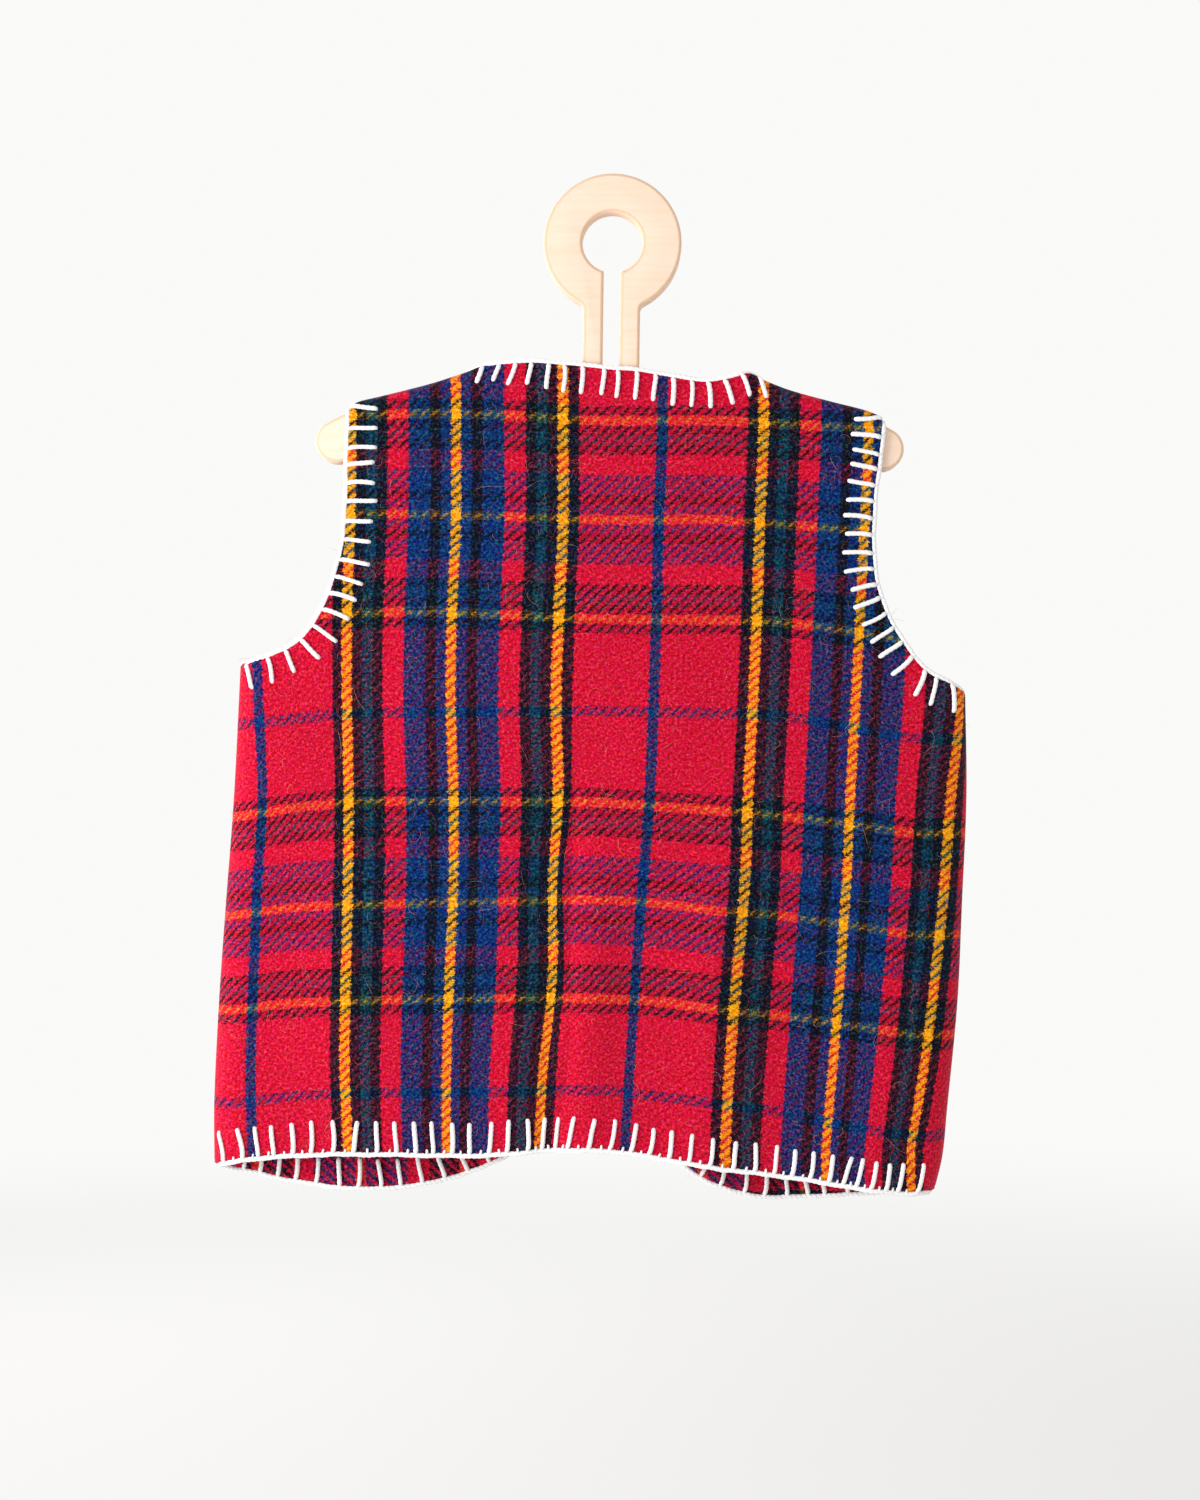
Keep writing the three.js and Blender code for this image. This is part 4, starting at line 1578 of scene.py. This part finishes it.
@dataclass
class Hanger:
    """The plywood hanger: a board with a ring, a keyhole, two legs and a yoke with two arms."""

    ply: float = 12.0
    round_over: float = 1.6
    round_steps: int = 5
    ring_steps: int = 60
    eye_steps: int = 40
    yoke_steps: int = 40
    tip_steps: int = 24
    fillet_steps: int = 10
    sharp_from: float = math.radians(40)
    tilt: float = math.radians(0.8)
    eye: float = 15.0
    ring: float = 34.4
    leg: float = 14.2
    slot: float = 4.15
    slot_foot: float = -75.0
    neck_fillet: float = 4.0
    foot_fillet: float = 6.0
    yoke_top: float = -84.6
    tip: tuple[float, float] = (135.8, -116.0)
    tip_radius: float = 10.7
    tip_angles: tuple[float, float] = (1.08, -1.815)
    arm_top: tuple[Point, ...] = (
        (45, -84.8), (62, -85.9), (75, -87.8), (87.5, -90.5), (106.5, -95.3), (126, -100.2),
        (134, -103),
    )
    arm_underside: tuple[Point, ...] = ((96, -117.6), (62, -109.8), (32, -106.6), (0, -106))

    def arc(self, centre: Point, radius: float, start: float, end: float, count: int) -> Array:
        """Lists points round part of a circle, as (x, z)."""
        angle = np.linspace(start, end, count)
        return np.stack([centre[0] + radius * np.cos(angle), centre[1] + radius * np.sin(angle)], -1)

    def outline(self) -> Array:
        """Lists the right half of the board's outline, from the ring's top to the yoke's underside.

        Returns:
            Array: (x, z) of the points.
        """
        fillet_x = self.leg + self.neck_fillet
        drop = math.sqrt((self.ring + self.neck_fillet) ** 2 - fillet_x**2)
        meeting = math.atan2(drop, -fillet_x)
        neck = (fillet_x, -self.eye - drop)
        knee = (self.leg + self.foot_fillet, self.yoke_top + self.foot_fillet)
        x, z = self.tip
        tip_start, tip_end = (
            (x + self.tip_radius * math.cos(angle), z + self.tip_radius * math.sin(angle))
            for angle in self.tip_angles
        )
        shares = np.linspace(0, 1, self.yoke_steps)
        yoke = (knee[0], self.yoke_top)
        return distinct(
            np.concatenate([
                self.arc((0, -self.eye), self.ring, math.pi / 2, meeting - math.pi, self.ring_steps),
                self.arc(neck, self.neck_fillet, meeting, math.pi, self.fillet_steps),
                self.arc(knee, self.foot_fillet, math.pi, 1.5 * math.pi, self.fillet_steps),
                Line.through([yoke, *self.arm_top, tip_start])(shares),
                self.arc(self.tip, self.tip_radius, *self.tip_angles, self.tip_steps),
                Line.through([tip_end, *self.arm_underside])(shares),
            ])
        )

    def keyhole(self) -> Array:
        """Lists the right half of the keyhole, from the top of the eye to the foot of the slot.

        Returns:
            Array: (x, z) of the points.
        """
        mouth = math.asin(self.slot / self.eye)
        return distinct(
            np.concatenate([
                self.arc((0, -self.eye), self.eye, math.pi / 2, mouth - math.pi / 2, self.eye_steps),
                self.arc((0, self.slot_foot), self.slot, 0, -math.pi / 2, self.fillet_steps),
            ])
        )

    def rim(self, half: Array, material_side: int) -> tuple[Array, Array]:
        """Carries the rounded edge of the board round a half outline and its mirror image.

        Each step of the section moves the loop into the material by r * (1 - cos a), while it nears the
        face by r * sin a.

        Args:
            half: the right half, from top to bottom.
            material_side: 1 where the material lies to the left of the loop's way, otherwise -1.

        Returns:
            tuple: vertices, loop points by section steps by 3, and quads between them.
        """
        mirrored = half[1:-1][::-1] * [-1, 1]
        loop = np.concatenate([half, mirrored])
        tangent = unit(np.roll(loop, -1, 0) - np.roll(loop, 1, 0))
        into = turned_left(tangent) * material_side
        quarter = np.linspace(0, math.pi / 2, self.round_steps + 1)
        inset = self.round_over * (1 - np.cos(quarter))
        rise = self.ply / 2 - self.round_over + self.round_over * np.sin(quarter)
        inset = np.concatenate([inset[::-1], inset])
        level = np.concatenate([rise[::-1], -rise])
        plan = loop[:, None] + into[:, None] * inset[None, :, None]
        vertices = np.stack([plan[..., 0], np.broadcast_to(level, plan.shape[:2]), plan[..., 1]], -1)
        index = np.arange(len(loop) * len(level)).reshape(len(loop), len(level))
        after = np.roll(index, -1, 0)
        quads = quads_of(index[:, :-1], index[:, 1:], after[:, 1:], after[:, :-1])
        return vertices, quads if material_side < 0 else quads[:, ::-1]

    def build(self, face: bpy.types.Material, edge: bpy.types.Material) -> bpy.types.Object:
        """Makes the board: rims round the outline and the keyhole, and two flat halves on each side.

        Args:
            face: finish of the flat sides.
            edge: finish of the edges.

        Returns:
            Object: the board.
        """
        outline, keyhole = self.outline(), self.keyhole()
        outer, outer_quads = self.rim(outline, -1)
        hole, hole_quads = self.rim(keyhole, 1)
        sections = outer.shape[1]
        start = outer.shape[0] * sections
        outer_index = np.arange(start).reshape(-1, sections)
        hole_index = np.arange(hole.shape[0] * sections).reshape(-1, sections) + start
        halves = []
        for column, back in ((0, True), (sections - 1, False)):
            ring, eye = outer_index[:, column], hole_index[:, column]
            right = [*ring[: len(outline)], *eye[: len(keyhole)][::-1]]
            left = [*ring[len(outline) - 1 :], ring[0], eye[0], *eye[len(keyhole) - 1 :][::-1]]
            halves += [np.array([loop if back else loop[::-1]]) for loop in (right, left)]
        vertices = np.concatenate([outer.reshape(-1, 3), hole.reshape(-1, 3)])
        turned = vertices.copy()
        turned[:, 0] = vertices[:, 0] * math.cos(self.tilt) + vertices[:, 2] * math.sin(self.tilt)
        turned[:, 2] = vertices[:, 2] * math.cos(self.tilt) - vertices[:, 0] * math.sin(self.tilt)
        quads = np.concatenate([outer_quads, hole_quads + start])
        finish = np.ones(len(quads) + len(halves), np.int32)
        finish[-len(halves) :] = 0
        piece = new_piece("hanger_board", turned, [quads, *halves], [face, edge], finish=finish)
        piece.data.set_sharp_from_angle(angle=self.sharp_from)
        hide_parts("hanger")
        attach(piece, BODY)
        log.info("%s: %d faces", piece.name, len(piece.data.polygons))
        return piece


def distinct(points: Array) -> Array:
    """Leaves out each point of a line that repeats the one before it."""
    apart = np.linalg.norm(np.diff(points, axis=0), axis=1) > SAME_PLACE
    return points[np.concatenate([[True], apart])]


class Value:
    """A number that a shader works out, written with Python's operators."""

    def __init__(self, graph: "Graph", socket: bpy.types.NodeSocket) -> None:
        """Wraps a socket of a graph."""
        self.graph = graph
        self.socket = socket

    def __add__(self, other: "Number") -> "Value":
        """Adds."""
        return self.graph.math("ADD", self, other)

    def __sub__(self, other: "Number") -> "Value":
        """Takes away."""
        return self.graph.math("SUBTRACT", self, other)

    def __mul__(self, other: "Number") -> "Value":
        """Multiplies."""
        return self.graph.math("MULTIPLY", self, other)

    def __truediv__(self, other: "Number") -> "Value":
        """Divides."""
        return self.graph.math("DIVIDE", self, other)

    def __radd__(self, other: float) -> "Value":
        """Adds to a plain number."""
        return self.graph.math("ADD", other, self)

    def __rsub__(self, other: float) -> "Value":
        """Takes away from a plain number."""
        return self.graph.math("SUBTRACT", other, self)

    def __rmul__(self, other: float) -> "Value":
        """Multiplies a plain number."""
        return self.graph.math("MULTIPLY", other, self)

    def __pow__(self, other: "Number") -> "Value":
        """Raises to a power."""
        return self.graph.math("POWER", self, other)

    def floor(self) -> "Value":
        """Rounds down."""
        return self.graph.math("FLOOR", self)

    def fraction(self) -> "Value":
        """Keeps what lies above the whole number below."""
        return self.graph.math("FRACT", self)

    def size(self) -> "Value":
        """Leaves out the sign."""
        return self.graph.math("ABSOLUTE", self)

    def wave(self) -> "Value":
        """Takes the sine, of an angle in radians."""
        return self.graph.math("SINE", self)

    def eased(self, low: float, high: float) -> "Value":
        """Eases from 0 at low to 1 at high.

        Args:
            low: where the result leaves 0.
            high: where the result reaches 1.

        Returns:
            Value: the eased number.
        """
        settings = {"interpolation_type": "SMOOTHSTEP"}
        values = {"Value": self, "From Min": low, "From Max": high}
        made = self.graph.node("ShaderNodeMapRange", settings, values)
        return Value(self.graph, made.outputs["Result"])


Number = Value | float


class Graph:
    """Builds the nodes of one material."""

    def __init__(self, name: str) -> None:
        """Starts an empty material."""
        self.material = bpy.data.materials.new(name)
        self.material.use_nodes = True
        self.tree = self.material.node_tree
        self.tree.nodes.clear()

    def node(self, kind: str, settings: dict | None = None, values: dict | None = None) -> bpy.types.Node:
        """Adds a node.

        Args:
            kind: type of the node.
            settings: its properties. For a ramp, "stops" lists places and colours.
            values: numbers, colours, sockets or Values for its inputs, by name or place.

        Returns:
            Node: the node.
        """
        made = self.tree.nodes.new(kind)
        settings = dict(settings or {})
        stops = settings.pop("stops", None)
        if stops:
            ramp = made.color_ramp
            ramp.interpolation = settings.pop("interpolation", "LINEAR")
            while len(ramp.elements) < len(stops):
                ramp.elements.new(1.0)
            for element, (place, colour) in zip(ramp.elements, stops):
                element.position = place
                element.color = colour
        for name, value in settings.items():
            setattr(made, name, value)
        for name, value in (values or {}).items():
            socket = made.inputs[name]
            if isinstance(value, Value):
                self.tree.links.new(value.socket, socket)
            elif isinstance(value, bpy.types.NodeSocket):
                self.tree.links.new(value, socket)
            else:
                socket.default_value = value
        return made

    def math(self, operation: str, *operands: Number) -> Value:
        """Adds a Math node with these operands."""
        values = dict(enumerate(operands))
        return Value(self, self.node("ShaderNodeMath", {"operation": operation}, values).outputs[0])

    def vector(self, operation: str, first: bpy.types.NodeSocket, second: object) -> bpy.types.NodeSocket:
        """Adds a Vector Math node and gives its vector."""
        values = {0: first, 1: second}
        return self.node("ShaderNodeVectorMath", {"operation": operation}, values).outputs["Vector"]

    def parts(self, socket: bpy.types.NodeSocket) -> tuple[Value, Value, Value]:
        """Takes a vector or colour apart."""
        split = self.node("ShaderNodeSeparateXYZ", None, {"Vector": socket})
        return tuple(Value(self, output) for output in split.outputs)

    def together(self, *parts: Number) -> bpy.types.NodeSocket:
        """Puts three numbers together into a vector or colour."""
        return self.node("ShaderNodeCombineXYZ", None, dict(enumerate(parts))).outputs[0]

    def mix(self, share: Number, low: object, high: object) -> bpy.types.NodeSocket:
        """Mixes two colours.

        Args:
            share: 0 for the first colour, 1 for the second.
            low: first colour, or its socket.
            high: second colour, or its socket.

        Returns:
            NodeSocket: the mixed colour.
        """
        values = {0: share, 6: low, 7: high}
        return self.node("ShaderNodeMix", {"data_type": "RGBA"}, values).outputs[2]

    def mapped(self, name: str) -> bpy.types.NodeSocket:
        """Reads a UV map."""
        return self.node("ShaderNodeUVMap", {"uv_map": name}).outputs["UV"]

    def spot(self) -> bpy.types.NodeSocket:
        """Reads the place on the object, in metres."""
        return self.node("ShaderNodeTexCoord").outputs["Object"]

    def noise(self, place: bpy.types.NodeSocket, scale: float, detail: float) -> bpy.types.Node:
        """Adds a noise texture with this many ups and downs for each unit of the place."""
        values = {"Vector": place, "Scale": scale, "Detail": detail, "Roughness": 0.6}
        return self.node("ShaderNodeTexNoise", {"noise_dimensions": "3D"}, values)

    def cloud(self, place: bpy.types.NodeSocket, scale: float, detail: float) -> Value:
        """Gives the noise as one number from 0 to 1."""
        return Value(self, self.noise(place, scale, detail).outputs["Fac"])

    def clouds(self, place: bpy.types.NodeSocket, scale: float, detail: float) -> list[Value]:
        """Gives the noise as three numbers round 0."""
        return [part - 0.5 for part in self.parts(self.noise(place, scale, detail).outputs["Color"])]

    def finish(
        self, constants: dict, linked: dict, height: Value, strength: float, depth: float,
    ) -> bpy.types.Material:
        """Ends the material in a Principled shader with a bump.

        Args:
            constants: inputs that are the same all over the surface.
            linked: inputs that change over the surface.
            height: relief of the surface, from 0 to 1.
            strength: how strongly the relief shades.
            depth: how deep the relief is, in metres.

        Returns:
            Material: the material.
        """
        relief = {"Strength": strength, "Distance": depth, "Height": height}
        normal = self.node("ShaderNodeBump", None, relief).outputs[0]
        values = {**constants, **linked, "Normal": normal}
        shader = self.node("ShaderNodeBsdfPrincipled", None, values)
        self.node("ShaderNodeOutputMaterial", None, {"Surface": shader.outputs[0]})
        return self.material


def screen(red: int, green: int, blue: int) -> Colour:
    """Gives a colour as a screen shows it, from 0 to 255, on a scale of 0 to 1."""
    return (red / 255, green / 255, blue / 255, 1.0)


def srgb(red: int, green: int, blue: int) -> Colour:
    """Turns a colour as a screen shows it, from 0 to 255, into light.

    Args:
        red: amount of red.
        green: amount of green.
        blue: amount of blue.

    Returns:
        Colour: linear red, green, blue and 1.
    """
    parts = [channel / 255 for channel in (red, green, blue)]
    light = [part / 12.92 if part <= 0.04045 else ((part + 0.055) / 1.055) ** 2.4 for part in parts]
    return (*light, 1.0)


class Side(Enum):
    """The two sides of the cloth."""

    FACE = "Checked wool, face"
    REVERSE = "Checked wool, reverse"


@dataclass(frozen=True)
class CheckedWool:
    """Felted wool twill, woven in a check that runs to and fro between two middle threads.

    Its colours are kept as a screen shows them, from 0 to 1, because the fibres of two threads mix on
    that scale. A last step turns the result into light. Lengths are counted in threads.
    """

    red: Colour = screen(187, 15, 48)
    blue: Colour = screen(0, 44, 95)
    black: Colour = screen(9, 15, 29)
    yellow: Colour = screen(228, 148, 18)
    green: Colour = screen(0, 50, 67)
    repeat: float = 4.0
    warp_share: float = 0.68
    reverse_share: float = 0.45
    softness: float = 0.30
    stepping: float = 0.4
    drift: float = 0.4
    drift_scale: float = 0.3
    stray_scale: float = 1.25
    fibre_scale: float = 0.95
    fibre_shift: tuple[float, float, float] = (31.7, 12.9, 5.3)
    scallop: float = 0.2
    beading: float = 0.12
    bead_start: float = 0.75
    raggedness: float = 1.5
    reverse_raggedness: float = 2.6
    spread: float = 2.8
    weft_spread: float = 3.2
    dash_spread: float = 0.8
    dash_half_width: tuple[float, float] = (0.4, 1.9)
    least: float = 0.12
    most: float = 0.86
    veil: float = 0.54
    dimming: float = 0.32
    reverse_dimming: float = 0.65
    dashes: float = 0.5
    dents: float = 0.22
    # How much the colour darkens where the lower threads show: painted shade between the floats
    weft_recess_shade: float = 0.09
    mottling: float = 1.2
    hue_share: float = 0.35
    # How high the warp threads, the fine fibres and the coarse ones stand
    heights: tuple[float, float, float] = (0.3, 0.9, 0.5)
    # Between which amounts of green, of red, and of red and blue together a thread starts to count as
    # yellow, red and coloured
    yellow_from: tuple[float, float] = (0.3, 0.5)
    red_from: tuple[float, float] = (0.15, 0.5)
    tint_from: tuple[float, float] = (0.15, 0.32)

    def sett(self) -> tuple[tuple[Colour, int], ...]:
        """Lists the stripes from the blue middle to the yellow one.

        Returns:
            tuple: the colour and thread count of each stripe.
        """
        return (
            (self.blue, 2), (self.red, 30), (self.black, 4), (self.yellow, 4), (self.black, 4),
            (self.green, 4), (self.black, 4), (self.red, 8), (self.blue, 8), (self.black, 4),
            (self.blue, 4), (self.yellow, 2),
        )

    def threads(self) -> float:
        """Counts the threads from the blue middle to the yellow one."""
        return float(sum(count for _, count in self.sett()))

    def yellow_middle(self) -> float:
        """Finds the middle of the first yellow stripe, in threads from the blue middle."""
        row = [colour for colour, _ in self.sett()].index(self.yellow)
        return sum(count for _, count in self.sett()[:row]) + self.sett()[row][1] / 2

    def stripe(self, graph: Graph, number: Value) -> bpy.types.NodeSocket:
        """Colours a thread by its number, counted to and fro over the sett.

        Args:
            graph: the material's nodes.
            number: thread number.

        Returns:
            NodeSocket: the thread's colour.
        """
        sett, total = self.sett(), self.threads()
        starts = [sum(count for _, count in sett[:row]) for row in range(len(sett))]
        stops = [(start / total, colour) for start, (colour, _) in zip(starts, sett)]
        share = graph.math("PINGPONG", number, total) / total
        settings = {"interpolation": "CONSTANT", "stops": stops}
        return graph.node("ShaderNodeValToRGB", settings, {"Fac": share}).outputs["Color"]

    def material(self, side: Side) -> bpy.types.Material:
        """Weaves the cloth from its thread numbers.

        Weft shows where the distance from the middle of a warp float, counted across the twill lines,
        is over the warp's share, more so at the middle of each weft thread. The reverse is the other
        way round. Yellow below is hidden more the further it lies from the middle of its stripe, which
        leaves dashes, and colour below anything but red shows less. Where the lower threads show, the
        colour is darkened a little, as painted shade in the low places between the floats. Fibres break
        up every boundary and mottle the colour.

        Args:
            side: side of the cloth.

        Returns:
            Material: the finish.
        """
        graph = Graph(side.value)
        on_face = side is Side.FACE
        raggedness = self.raggedness if on_face else self.reverse_raggedness
        dimming = self.dimming if on_face else self.reverse_dimming
        shown = self.warp_share if on_face else self.reverse_share
        place = graph.mapped("Threads")
        warp, weft, _ = graph.parts(place)
        strays = graph.clouds(place, self.stray_scale, 2.0)
        fibres = graph.clouds(graph.vector("ADD", place, self.fibre_shift), self.fibre_scale, 3.0)

        stepped = (warp.floor() + 0.5) * self.stepping + warp * (1 - self.stepping)
        drift = graph.cloud(place, self.drift_scale, 1.0) - 0.5
        line = (stepped - weft) / self.repeat + drift * self.drift
        apart = (line.fraction() - 0.5).size() * 2
        scallop = (line * (2 * math.pi)).wave() * self.scallop
        warp_colour = self.stripe(graph, warp + strays[0] * self.spread + scallop)
        weft_colour = self.stripe(graph, weft + strays[1] * self.weft_spread)
        bead = ((weft + self.bead_start) * (2 * math.pi)).wave() * self.beading
        ragged = apart + strays[2] * raggedness + bead

        over, below = (warp_colour, weft_colour) if on_face else (weft_colour, warp_colour)
        over_red = graph.parts(over)[0]
        below_red, below_green, below_blue = graph.parts(below)
        bright = below_green.eased(*self.yellow_from)
        dark = 1 - over_red.eased(*self.red_from)
        number = (weft if on_face else warp) + strays[1] * self.dash_spread
        turn = graph.math("PINGPONG", number, self.threads())
        aside = graph.math("MINIMUM", (turn - self.yellow_middle()).size(), self.threads() - turn)
        hidden = bright * (dark * self.dashes + (1 - dark) * self.dents)
        ragged = ragged - hidden * aside.eased(*self.dash_half_width)
        under = ragged.eased(shown - self.softness, shown + self.softness)

        tinted = (below_red + below_blue).eased(*self.tint_from) * (1 - bright)
        veil = tinted * (1 - over_red) * (1 + below_blue * (1 - below_red)) * self.veil
        clear = 1 - bright * dimming - veil
        share = under * clear * (self.most - self.least) + self.least
        woven = graph.mix(share, over, below)
        # Painted shade: the colour darkens where the lower threads show, as if they lay in shadow between
        # the floats
        depth = 1 - under * self.weft_recess_shade
        recess_shaded = graph.vector("MULTIPLY", woven, graph.together(depth, depth, depth))
        fleck = fibres[0] * self.mottling
        uneven = self.mottling * self.hue_share
        hue = [fleck + (part - fibres[0]) * uneven for part in (strays[0], fibres[1], fibres[2])]
        flecked = graph.vector("ADD", recess_shaded, graph.together(*hue))
        dyed = graph.vector("MAXIMUM", flecked, (0.0, 0.0, 0.0))
        light = graph.node("ShaderNodeGamma", None, {"Color": dyed, "Gamma": 2.2}).outputs[0]

        thread, fine, coarse = self.heights
        height = (1 - under) * thread + fibres[0] * fine + strays[2] * coarse + 0.4
        constants = {
            "Roughness": 0.95, "Specular IOR Level": 0.06, "Sheen Weight": 0.08, "Sheen Roughness": 0.5,
        }
        linked = {"Base Color": light}
        return graph.finish(constants, linked, height, strength=0.6, depth=0.0008)


@dataclass(frozen=True)
class WhiteWool:
    """Soft two-ply wool yarn, nearly white."""

    colour: Colour = srgb(232, 231, 231)
    # Colour in the groove where the two plies meet: painted shade, darker than the yarn's own colour
    hollow: Colour = srgb(212, 209, 208)
    fibre_scale: float = 2600.0
    ply_shade: float = 0.5
    fibre_shade: float = 0.7
    pale_from: tuple[float, float] = (0.15, 0.6)
    ply_height: float = 0.4
    fibre_height: float = 0.6

    def material(self) -> bpy.types.Material:
        """Paints shade into the lay of the yarn: darker where its two plies meet, as painted shade in the
        groove, with fine fibres along them.

        Returns:
            Material: the finish.
        """
        graph = Graph("White wool yarn")
        turn, run, _ = graph.parts(graph.mapped("Lay"))
        ply = ((turn - run) * (4 * math.pi)).wave() * 0.5 + 0.5
        fibre = graph.cloud(graph.spot(), self.fibre_scale, 3.0)
        share = (ply * self.ply_shade + fibre * self.fibre_shade).eased(*self.pale_from)
        # Mixes towards the painted shade of the groove between the plies, broken up by fine fibres
        colour = graph.mix(share, self.hollow, self.colour)
        height = ply * self.ply_height + fibre * self.fibre_height
        constants = {
            "Roughness": 0.9, "Specular IOR Level": 0.2, "Sheen Weight": 0.3, "Sheen Roughness": 0.4,
        }
        linked = {"Base Color": colour}
        return graph.finish(constants, linked, height, strength=0.35, depth=0.0003)


@dataclass(frozen=True)
class StrayFibre:
    """Single wool fibres, some pale and some dyed."""

    pale: Colour = srgb(214, 168, 140)
    dyed: Colour = srgb(172, 36, 54)
    pale_from: tuple[float, float] = (0.62, 1.1)

    def material(self) -> bpy.types.Material:
        """Shades each fibre by its own share of the two colours.

        Returns:
            Material: the finish.
        """
        graph = Graph("Stray wool fibre")
        share, tone, _ = graph.parts(graph.mapped("Shade"))
        colour = graph.mix(share.eased(*self.pale_from), self.dyed, self.pale)
        constants = {"Specular IOR Level": 0.2}
        linked = {"Base Color": colour, "Roughness": 0.6 + tone * 0.3}
        return graph.finish(constants, linked, tone, strength=0.1, depth=0.0001)


@dataclass(frozen=True)
class Maple:
    """Pale maple veneer on plywood, under clear lacquer."""

    pale: Colour = srgb(231, 203, 183)
    grain: Colour = srgb(226, 196, 170)
    glue: Colour = srgb(210, 176, 144)
    layer_depth: float = 1.33
    stretch: tuple[float, float, float] = (14.0, 60.0, 420.0)
    cloud_scale: float = 30.0
    line_shade: float = 0.8
    cloud_shade: float = 0.3
    grain_from: tuple[float, float] = (0.42, 0.78)
    end_grain_scale: float = 900.0
    end_grain_shade: float = 0.5
    layer_shade: float = 0.75
    layer_from: tuple[float, float] = (0.42, 0.58)

    def face(self) -> bpy.types.Material:
        """Draws faint grain lines that run across the board.

        Returns:
            Material: the finish.
        """
        graph = Graph("Maple face")
        spot = graph.spot()
        values = {"Vector": spot, "Scale": self.stretch}
        along = graph.node("ShaderNodeMapping", None, values).outputs[0]
        line = graph.cloud(along, 1.0, 4.0)
        cloud = graph.cloud(spot, self.cloud_scale, 2.0)
        share = (line * self.line_shade + cloud * self.cloud_shade).eased(*self.grain_from)
        colour = graph.mix(share, self.pale, self.grain)
        constants = {"Specular IOR Level": 0.35, "Coat Weight": 0.15, "Coat Roughness": 0.35}
        linked = {"Base Color": colour, "Roughness": 0.5 + line * 0.12}
        return graph.finish(constants, linked, line, strength=0.12, depth=0.0002)

    def edge(self) -> bpy.types.Material:
        """Stripes the edge with the layers of the plywood, turn about end grain and long grain.

        Returns:
            Material: the finish.
        """
        graph = Graph("Plywood edge")
        spot = graph.spot()
        _, depth, _ = graph.parts(spot)
        pairs = depth * ((1 / MM) / (2 * self.layer_depth)) + 0.25
        layer = ((pairs.fraction() - 0.5).size() * 2).eased(*self.layer_from)
        grain = graph.cloud(spot, self.end_grain_scale, 3.0)
        share = layer * self.layer_shade + (grain - 0.5) * self.end_grain_shade
        colour = graph.mix(share.eased(0.0, 1.0), self.pale, self.glue)
        constants = {"Specular IOR Level": 0.3}
        linked = {"Base Color": colour, "Roughness": 0.55 + grain * 0.15}
        return graph.finish(constants, linked, grain, strength=0.15, depth=0.0002)


@dataclass(frozen=True)
class Lamp:
    """A square soft light that looks at the middle of the vest, in metres and watts."""

    name: str
    place: tuple[float, float, float]
    size: float
    power: float

    def hang(self) -> None:
        """Makes the light, which the camera doesn't see."""
        light = bpy.data.lights.new(self.name, "AREA")
        light.size = self.size
        light.energy = self.power
        lamp = bpy.data.objects.new(self.name, light)
        lamp.location = self.place
        middle = (cad_box[0] + cad_box[1]) / 2
        lamp.rotation_euler = (middle - lamp.location).to_track_quat("-Z", "Y").to_euler()
        lamp.visible_camera = False
        bpy.context.scene.collection.objects.link(lamp)


@dataclass(frozen=True)
class Studio:
    """Plain pale floor, soft light and the camera at the photograph's angle."""

    camera: tuple[float, float, float] = (-0.0065, -1.25, -0.2678)
    lens: float = 60.0
    floor_z: float = -0.95
    floor_radius: float = 4.5
    floor_rings: tuple[float, ...] = (0.02, 0.3, 0.6, 1.0)
    floor_corners: int = 96
    floor_colour: Colour = srgb(220, 219, 219)
    floor_fade: tuple[float, float] = (1.0, 3.2)
    backdrop: Colour = srgb(252, 252, 251)
    world_strength: float = 0.98
    key: Lamp = Lamp("Key", (-0.95, -0.6, -0.25), 0.7, 14.0)
    far_side: Lamp = Lamp("Far side", (-0.9, 1.9, 0.5), 1.6, 14.0)

    def build(self) -> None:
        """Makes the camera, lights, world and floor."""
        scene = bpy.context.scene
        scene.view_settings.view_transform = "Standard"
        camera = bpy.data.objects.new("Camera", bpy.data.cameras.new("Camera"))
        camera.data.lens = self.lens
        camera.location = self.camera
        camera.rotation_euler = (math.pi / 2, 0, 0)
        scene.collection.objects.link(camera)
        scene.camera = camera
        world = bpy.data.worlds.new("Pale studio")
        world.use_nodes = True
        background = world.node_tree.nodes["Background"]
        background.inputs["Color"].default_value = self.backdrop
        background.inputs["Strength"].default_value = self.world_strength
        scene.world = world
        self.key.hang()
        self.far_side.hang()
        self.floor()

    def floor(self) -> None:
        """Lays a pale floor that fades into the background towards its rim."""
        ring = np.linspace(0, 2 * math.pi, self.floor_corners, endpoint=False)
        radius = np.array(self.floor_rings)[:, None] * (self.floor_radius / MM)
        x, y = radius * np.cos(ring), radius * np.sin(ring)
        vertices = np.stack([x, y, np.full_like(x, self.floor_z / MM)], -1).reshape(-1, 3)
        index = np.arange(len(vertices)).reshape(len(radius), -1)
        after = np.roll(index, -1, 1)
        quads = quads_of(index[:-1], index[1:], after[1:], after[:-1])
        graph = Graph("Pale floor")
        across, deep, _ = graph.parts(graph.spot())
        far = (across**2.0 + deep**2.0) ** 0.5
        plain = graph.node("ShaderNodeBsdfDiffuse", None, {"Color": self.floor_colour})
        shine = {"Color": self.backdrop, "Strength": self.world_strength}
        glow = graph.node("ShaderNodeEmission", None, shine)
        values = {0: far.eased(*self.floor_fade), 1: plain.outputs[0], 2: glow.outputs[0]}
        mixed = graph.node("ShaderNodeMixShader", None, values)
        graph.node("ShaderNodeOutputMaterial", None, {"Surface": mixed.outputs[0]})
        new_piece("Floor", vertices, [quads, index[:1]], [graph.material])


def main() -> None:
    """Builds the studio, the hanger and the vest, and reports each piece."""
    logging.basicConfig(level=logging.INFO, format="%(name)s: %(message)s")
    Studio().build()
    maple = Maple()
    Hanger().build(maple.face(), maple.edge())
    wool = CheckedWool()
    cloth = [wool.material(side) for side in Side]
    Vest().build(*cloth, WhiteWool().material(), StrayFibre().material())


if __name__ == "__main__":
    main()
